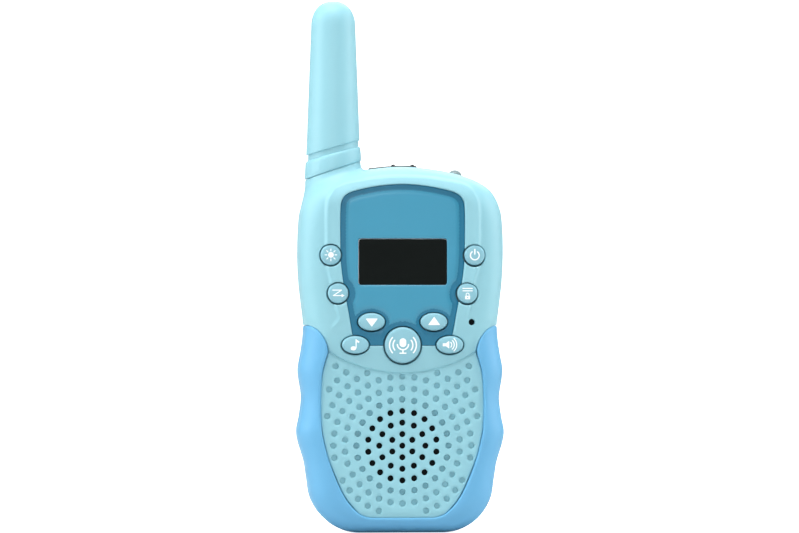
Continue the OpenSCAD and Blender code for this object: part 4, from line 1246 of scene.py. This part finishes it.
def lengthwise(r, x0, x1, y, z):
    """A round pin along x with eased ends."""
    ease = min(0.15, r / 3)
    profile = [(0, x0), (r - ease, x0), (r, x0 + ease), (r, x1 - ease), (r - ease, x1), (0, x1)]
    return turned(profile, 24, lambda rad, a, x: (x, y + rad * math.cos(a), z + rad * math.sin(a)))


def upright(profile, x, y=0.0, count=48):
    return turned(profile, count, lambda rad, a, z: (x + rad * math.cos(a), y + rad * math.sin(a), z))


jack_low, jack_high = box_mm("jack_cover")
COVER_X = -8.4
FLAP_TOP = 104.4


def jack_cover_solid():
    """Rubber cover seen from above: a flap with two ridges, a thin tether and the bead it turns on."""
    flap = fine(rounded([(-2.4, -3.5), (4.7, -3.5), (4.7, 3.5), (-2.4, 3.5)], 0.9), 0.5)
    whole = fine(rounded([(COVER_X - 0.45, -1.8), (-2.4, -1.8), (-2.4, -3.5), (4.7, -3.5), (4.7, 3.5),
                          (-2.4, 3.5), (-2.4, 1.8), (COVER_X - 0.45, 1.8)],
                         [0.1, 0.3, 0.9, 0.9, 0.9, 0.9, 0.3, 0.1]), 0.5)
    ridges = [fine(rounded([(x - 0.4, -2.6), (x + 0.4, -2.6), (x + 0.4, 2.6), (x - 0.4, 2.6)], 0.3), 0.4)
              for x in (-1.9, 3.6)]
    lines = [(whole, True)] + rings(whole, (0.07, 0.18, 0.35))
    lines += [(offset_loop(flap, d), True) for d in (0.05, 0, -0.1)]
    for ridge in ridges:
        lines += [(offset_loop(ridge, d), True) for d in (0.05, -0.05, -0.15)]
    for x in (COVER_X - 0.3, COVER_X, COVER_X + 0.3, COVER_X + 0.45):
        lines.append((np.array([(x, -1.9), (x, -0.6), (x, 0.6), (x, 1.9)]), False))
    points, faces = sheet(lines, lambda p: signed_distance(p, whole) < 0,
                          lambda p: signed_distance(p, whole) < -0.6, 0.6)
    x = points[:, 0]
    base = jack_low[2]
    crown = CASE[CASE[:, 1] > 101]
    crown = crown[np.argsort(crown[:, 0])]
    tether = np.interp(x, crown[:, 0], crown[:, 1]) + 0.42
    on_flap = np.interp(signed_distance(points, flap), [0.0, 0.05], [1, 0])
    top = tether + (FLAP_TOP - tether) * on_flap
    bead = 103.45 + np.sqrt(np.maximum(0.45 ** 2 - (x - COVER_X) ** 2, 0))
    top = np.where(x < COVER_X, bead, top)
    top -= np.interp(signed_distance(points, whole), [-0.35, -0.18, -0.07, 0], [0, 0.03, 0.1, 0.26]) * (
        x > COVER_X)
    for ridge in ridges:
        top += np.interp(signed_distance(points, ridge), [-0.15, -0.05, 0.05], [0.4, 0.33, 0])
    low = np.full(len(points), base)
    return close_layers(faces, np.column_stack([x, points[:, 1], top]),
                        np.column_stack([x, points[:, 1], low]))


TORCH_X = sum(c[0] for c in box_mm("torch_lamp")) / 2
TORCH_R = 2.05


def torch_dome():
    profile = [(0, 96.2), (TORCH_R + 0.4, 96.2), (TORCH_R + 0.4, 97.0), (TORCH_R, 97.1), (TORCH_R, 101.3)]
    profile += [(TORCH_R * math.cos(t), 101.3 + TORCH_R * math.sin(t))
                for t in np.radians(np.arange(9, 90, 9))]
    return upright(profile + [(0, 101.3 + TORCH_R)], TORCH_X)


def crown_cutters():
    pocket = rounded([(COVER_X - 0.75, -3.7), (5.2, -3.7), (5.2, 3.7), (COVER_X - 0.75, 3.7)], 0.9)
    return [prism(pocket, 102.95, 110)]


def crown_bores():
    return [upright([(0, 95), (TORCH_R + 0.15, 95), (TORCH_R + 0.15, 108), (0, 108)], TORCH_X),
            upright([(0, 95), (2.68, 95), (2.68, 108), (0, 108)], 1.2)]


# ---------------------------------------------------------------------------
# Materials
# ---------------------------------------------------------------------------


def linear(code):
    """Linear colour from a six-digit sRGB code."""
    out = []
    for i in (0, 2, 4):
        c = int(code[i:i + 2], 16) / 255
        out.append(c / 12.92 if c <= 0.04045 else ((c + 0.055) / 1.055) ** 2.4)
    return out


class Finish:
    """A node material being put together."""

    def __init__(self, name):
        self.material = bpy.data.materials.new(name)
        self.material.use_nodes = True
        self.tree = self.material.node_tree
        self.shader = self.tree.nodes["Principled BSDF"]
        self.place = self.tree.nodes.new("ShaderNodeTexCoord").outputs["Object"]

    def add(self, kind, inputs=None, **fields):
        node = self.tree.nodes.new(kind)
        for key, value in fields.items():
            setattr(node, key, value)
        for key, value in (inputs or {}).items():
            if isinstance(value, bpy.types.NodeSocket):
                self.tree.links.new(value, node.inputs[key])
            else:
                node.inputs[key].default_value = value
        return node

    def noise(self, size_mm, detail=3.0, rough=0.55):
        return self.add("ShaderNodeTexNoise", {"Vector": self.place, "Scale": 1000.0 / size_mm,
                                               "Detail": detail, "Roughness": rough}).outputs["Fac"]

    def mixed(self, amount, first, second):
        node = self.add("ShaderNodeMix", data_type="RGBA")
        for key, value in ((0, amount), (6, first), (7, second)):
            if isinstance(value, bpy.types.NodeSocket):
                self.tree.links.new(value, node.inputs[key])
            else:
                node.inputs[key].default_value = value
        return node.outputs[2]

    def spread(self, value, low, high):
        return self.add("ShaderNodeMapRange", {"Value": value, "To Min": low, "To Max": high}
                        ).outputs["Result"]

    def set(self, **inputs):
        for key, value in inputs.items():
            socket = self.shader.inputs[key.replace("_", " ")]
            if isinstance(value, bpy.types.NodeSocket):
                self.tree.links.new(value, socket)
            else:
                socket.default_value = value

    def bump(self, height, distance_mm, strength=1.0):
        node = self.add("ShaderNodeBump", {"Height": height, "Distance": distance_mm * MM,
                                           "Strength": strength})
        self.set(Normal=node.outputs["Normal"])


def shade(rgb, factor):
    return [min(1.0, c * factor) for c in rgb] + [1.0]


def plastic(name, code, rough, grain=0.012, mottle=0.025, sheen=0.0, coat=0.0, scatter=0.0):
    """Moulded plastic: fine texture, slow colour drift, uneven roughness."""
    f = Finish(name)
    colour = linear(code)
    drift = f.noise(22, 2)
    specks = f.noise(1.3, 4, 0.7)
    tone = f.mixed(drift, shade(colour, 1 - mottle), shade(colour, 1 + mottle))
    tone = f.mixed(f.spread(specks, 0.0, 0.12), tone, shade(colour, 1.12))
    f.set(Base_Color=tone, Roughness=f.spread(f.noise(5, 3), rough - 0.05, rough + 0.05))
    if coat:
        f.set(Coat_Weight=coat, Coat_Roughness=0.12)
    if scatter:
        f.set(Subsurface_Weight=scatter, Subsurface_Radius=(0.8, 1.0, 1.1), Subsurface_Scale=0.0012)
    if sheen:
        f.set(Sheen_Weight=sheen, Sheen_Roughness=0.4)
    f.bump(f.noise(0.28, 2, 0.6), grain)
    return f.material


def metal(name, code, rough, streak=0.6):
    f = Finish(name)
    colour = linear(code)
    wear = f.noise(streak, 4, 0.65)
    f.set(Base_Color=f.mixed(wear, shade(colour, 0.86), shade(colour, 1.08)), Metallic=1.0,
          Roughness=f.spread(f.noise(0.9, 3), rough - 0.06, rough + 0.08))
    f.bump(wear, 0.01)
    return f.material


def woven(name, code):
    f = Finish(name)
    colour = linear(code)
    wave = [f.add("ShaderNodeTexWave", {"Vector": f.place, "Scale": 420.0, "Distortion": 0.6},
                  bands_direction=axis).outputs["Fac"] for axis in ("X", "Z")]
    mesh = f.add("ShaderNodeMath", {0: wave[0], 1: wave[1]}, operation="MULTIPLY").outputs[0]
    f.set(Base_Color=f.mixed(mesh, shade(colour, 0.5), shade(colour, 1.3)), Roughness=0.9)
    f.bump(mesh, 0.06)
    return f.material


def board_material():
    f = Finish("circuit_green")
    base = linear("0f5a34")
    tracks = f.add("ShaderNodeTexVoronoi", {"Vector": f.place, "Scale": 320.0}, distance="MANHATTAN",
                   feature="DISTANCE_TO_EDGE").outputs["Distance"]
    line = f.add("ShaderNodeMapRange", {"Value": tracks, "From Min": 0.04, "From Max": 0.08,
                                        "To Min": 1.0, "To Max": 0.0}).outputs["Result"]
    f.set(Base_Color=f.mixed(line, shade(base, 1.0), shade(linear("2f8a4d"), 1.0)),
          Roughness=f.spread(f.noise(1.5), 0.28, 0.42), Coat_Weight=0.3)
    f.bump(line, 0.03)
    return f.material


def cell_material():
    """Battery jackets: a dark body and a light band, with scuffs."""
    f = Finish("cell_jacket")
    parts = f.add("ShaderNodeSeparateXYZ", {"Vector": f.place})
    band = f.add("ShaderNodeMapRange", {"Value": parts.outputs["Z"], "From Min": 0.0435,
                                        "From Max": 0.0437}).outputs["Result"]
    scuff = f.noise(2.5, 5, 0.7)
    dark = f.mixed(scuff, shade(linear("24282c"), 0.85), shade(linear("2e3338"), 1.1))
    light = f.mixed(scuff, shade(linear("b9772f"), 0.9), shade(linear("cf8c3b"), 1.1))
    f.set(Base_Color=f.mixed(band, dark, light), Roughness=f.spread(scuff, 0.25, 0.4), Metallic=0.35)
    f.bump(scuff, 0.01)
    return f.material


def clear_material():
    f = Finish("clear_plastic")
    haze = f.noise(0.8, 3)
    f.set(Base_Color=f.mixed(haze, shade(linear("687c7f"), 0.95), shade(linear("7c9092"), 1.0)),
          Roughness=f.spread(haze, 0.14, 0.24), Transmission_Weight=0.0, IOR=1.45)
    f.bump(haze, 0.006)
    return f.material


def screen_material():
    f = Finish("display_black")
    dust = f.noise(0.5, 4, 0.7)
    sheen = f.noise(30, 1)
    base = f.mixed(sheen, shade(linear("0c100f"), 1.0), shade(linear("131817"), 1.0))
    f.set(Base_Color=base, Roughness=f.spread(dust, 0.12, 0.2), Specular_IOR_Level=0.12)
    f.bump(dust, 0.002)
    return f.material


MATERIALS = {
    "case_cyan": plastic("case_cyan", "8cc2ce", 0.46, scatter=0.12),
    "grip_blue": plastic("grip_blue", "62a9d2", 0.50, scatter=0.08),
    "lens_teal": plastic("lens_teal", "398eac", 0.32, grain=0.002, mottle=0.02, coat=0.12),
    # darker teal for the lens's sunk border: painted shade, standing in for the shadow of the case rim
    "lens_border_painted_shade": plastic("lens_border_painted_shade", "147090", 0.36, grain=0.002, mottle=0.02, coat=0.05),
    "display_black": screen_material(),
    "white_plastic": plastic("white_plastic", "f2f8fb", 0.5, grain=0.01),
    "key_cyan": plastic("key_cyan", "85b9c7", 0.40, scatter=0.12),
    "silicone": plastic("silicone", "b8c4c4", 0.55, scatter=0.3),
    "black_plastic": plastic("black_plastic", "151719", 0.42),
    "circuit_green": board_material(),
    "tinned_steel": metal("tinned_steel", "c9ccce", 0.28),
    "copper_wire": metal("copper_wire", "c9784a", 0.3, 0.3),
    "black_rubber": plastic("black_rubber", "2b2f31", 0.68, grain=0.03, mottle=0.08),
    "clear_plastic": clear_material(),
    "cell_jacket": cell_material(),
    "red_wire": plastic("red_wire", "b3231d", 0.4, mottle=0.05),
    "speaker_paper": plastic("speaker_paper", "1d1e1f", 0.8, grain=0.04, mottle=0.15),
    "dust_cloth": woven("dust_cloth", "0b0c0d"),
}

for part in frame["record"]["subparts"]:
    cad_mesh = frame["nodes"][part["node"]].data
    cad_mesh.materials.clear()
    cad_mesh.materials.append(MATERIALS[part["material_slot"]])

# ---------------------------------------------------------------------------
# Pieces
# ---------------------------------------------------------------------------


def piece(name, parts, slot, body="root", stands_for=(), sharp=38.0):
    return make(name, parts, MATERIALS[slot], body, slot, stands_for, sharp)


front_case = piece("front_case_shell", [facing(front_case_shell(), -1)], "case_cyan",
                   stands_for=["front_case"])
rear_case = piece("rear_case_shell", [facing(rear_case_shell(), 1)], "case_cyan",
                  stands_for=["rear_case"])
shaped(rear_case, [rail_block()], "UNION")
for half in (front_case, rear_case):
    shaped(half, crown_cutters(), "DIFFERENCE")
    shaped(half, crown_bores(), "DIFFERENCE")
grips = piece("grip_shell", [merged([facing(grip_half(WINDOW), -1), facing(grip_half(REAR_WINDOW), 1)],
                                    0.001)], "grip_blue", stands_for=["grip_frame"])
piece("antenna_shell", [antenna_shell()], "case_cyan", stands_for=["antenna_sleeve"])
lens = piece("lens", [lens_solid()], "lens_teal", stands_for=["display_lens"])
lens.data.materials.append(MATERIALS["lens_border_painted_shade"])
# faces sunk more than 0.27 mm (the lens border and the halos round the keys) take the darker teal: painted
# shade in the recesses
for face in lens.data.polygons:
    height = -face.center.y / MM
    if 12.2 < height < HALF - 0.27:
        face.material_index = 1
# the black screen sits 0.08 mm right and low and is smaller than the white plate behind it, so a thin white
# line shows on its left and top edges: a painted highlight on the window's edge
piece("screen", [plate(rounded_rect(0.08, SCREEN_Z - 0.08, SCREEN_HALF[0] - 0.12, SCREEN_HALF[1] - 0.12,
                                    0.75), -12.82, -12.1)], "display_black")
piece("screen_edge_painted_highlight", [plate(rounded_rect(0, SCREEN_Z, SCREEN_HALF[0] - 0.02, SCREEN_HALF[1] - 0.02, 0.78),
                           -12.5, -11.7)], "white_plastic")
for key_name, shapes in SYMBOLS.items():
    piece(key_name + "_cap", [key_solid(key_name)], "key_cyan", key_name + "_key",
          [key_name + "_key"])
    piece(key_name + "_symbol", [symbol_solid(key_name, *shapes)], "white_plastic",
          key_name + "_key", sharp=30)
door = piece("door_panel", [facing(door_solid(), 1)], "case_cyan", "battery_door", ["battery_door"])
shaped(door, [lengthwise(0.6, s * 17.3 - 1.1, s * 17.3 + 1.1, KNUCKLE_Y, KNUCKLE_Z) for s in (-1, 1)],
       "UNION")
clip = piece("clip_plate", [facing(clip_plate(), 1)], "case_cyan", "belt_clip", ["belt_clip"])
shaped(clip, [eased(prism([(-4.45, 14.6), (4.45, 14.6), (4.45, 16.9), (-4.45, 16.9)], 89.7, 98.6), 0.15)],
       "UNION")
shaped(clip, [eased(prism([(-6.45, 14.05), (6.45, 14.05), (6.45, 15.05), (-6.45, 15.05)], 89.7, 98.6),
                    0.2)], "UNION")
piece("jack_flap", [jack_cover_solid()], "black_rubber", "jack_cover", ["jack_cover"])
piece("mic_felt", [plate(circle(*MIC, 1.35, 28), -10.9, -10.55)], "dust_cloth")
piece("torch_dome", [torch_dome()], "clear_plastic", stands_for=["torch_lamp"])

# ---------------------------------------------------------------------------
# Stage, light and camera
# ---------------------------------------------------------------------------


def stage_mesh():
    """A pale floor that curves up into a wall behind the object."""
    side = [(-3.0, 0.0), (0.9, 0.0)] + [(0.9 + 0.5 * math.sin(t), 0.5 - 0.5 * math.cos(t))
                                        for t in np.radians(np.arange(10, 91, 10))] + [(1.4, 3.0)]
    verts = [(x, y, z - 0.0003) for y, z in side for x in (-3.0, 3.0)]
    faces = [(2 * i, 2 * i + 1, 2 * i + 3, 2 * i + 2) for i in range(len(side) - 1)]
    mesh = bpy.data.meshes.new("stage_floor")
    mesh.from_pydata(verts, [], faces)
    floor = bpy.data.objects.new("stage_floor", mesh)
    bpy.context.scene.collection.objects.link(floor)
    f = Finish("stage_white")
    tone = f.noise(400, 2)
    f.set(Base_Color=f.mixed(tone, (0.60, 0.60, 0.60, 1), (0.64, 0.64, 0.64, 1)), Roughness=0.9,
          Specular_IOR_Level=0.1, Emission_Color=(1, 1, 1, 1),
          Emission_Strength=f.add("ShaderNodeLightPath").outputs["Is Camera Ray"])
    mesh.materials.append(f.material)
    for face in mesh.polygons:
        face.use_smooth = True


def area_light(name, place, target, size, power):
    data = bpy.data.lights.new(name, "AREA")
    data.shape, data.size, data.size_y, data.energy = "RECTANGLE", size[0], size[1], power
    light = bpy.data.objects.new(name, data)
    light.location = place
    light.rotation_euler = (Vector(target) - Vector(place)).to_track_quat("-Z", "Y").to_euler()
    bpy.context.scene.collection.objects.link(light)


stage_mesh()
MIDDLE = (0.0, 0.0, 0.07)
area_light("key_left", (-1.0, -0.15, 0.45), MIDDLE, (0.7, 0.9), 7.5)
area_light("fill_right", (1.0, -0.10, 0.35), MIDDLE, (0.7, 0.9), 7.0)
area_light("top", (-0.1, -0.25, 1.1), MIDDLE, (1.0, 0.7), 13.5)
area_light("front", (-0.3, -1.9, 0.75), MIDDLE, (0.9, 0.9), 7.5)
area_light("back", (0.15, 0.6, 0.75), MIDDLE, (0.9, 0.5), 4.0)

world = bpy.data.worlds.new("studio")
bpy.context.scene.world = world
world.use_nodes = True
world.node_tree.nodes["Background"].inputs["Color"].default_value = (0.97, 0.985, 1.0, 1)
world.node_tree.nodes["Background"].inputs["Strength"].default_value = 0.30

camera_data = bpy.data.cameras.new("camera")
camera_data.lens, camera_data.sensor_width = 189.0, 36.0
camera_data.clip_end = 20
camera = bpy.data.objects.new("camera", camera_data)
bpy.context.scene.collection.objects.link(camera)
azimuth, elevation, distance = math.radians(-4.0), math.radians(-0.7), 1.2
back = Vector((math.sin(azimuth) * math.cos(elevation), -math.cos(azimuth) * math.cos(elevation),
               math.sin(elevation)))
aim = Vector((0.0, 0.0, 0.0757))
camera.location = aim + back * distance
camera.rotation_euler = (-back).to_track_quat("-Z", "Y").to_euler()
bpy.context.scene.camera = camera
bpy.context.scene.view_settings.view_transform = "Standard"
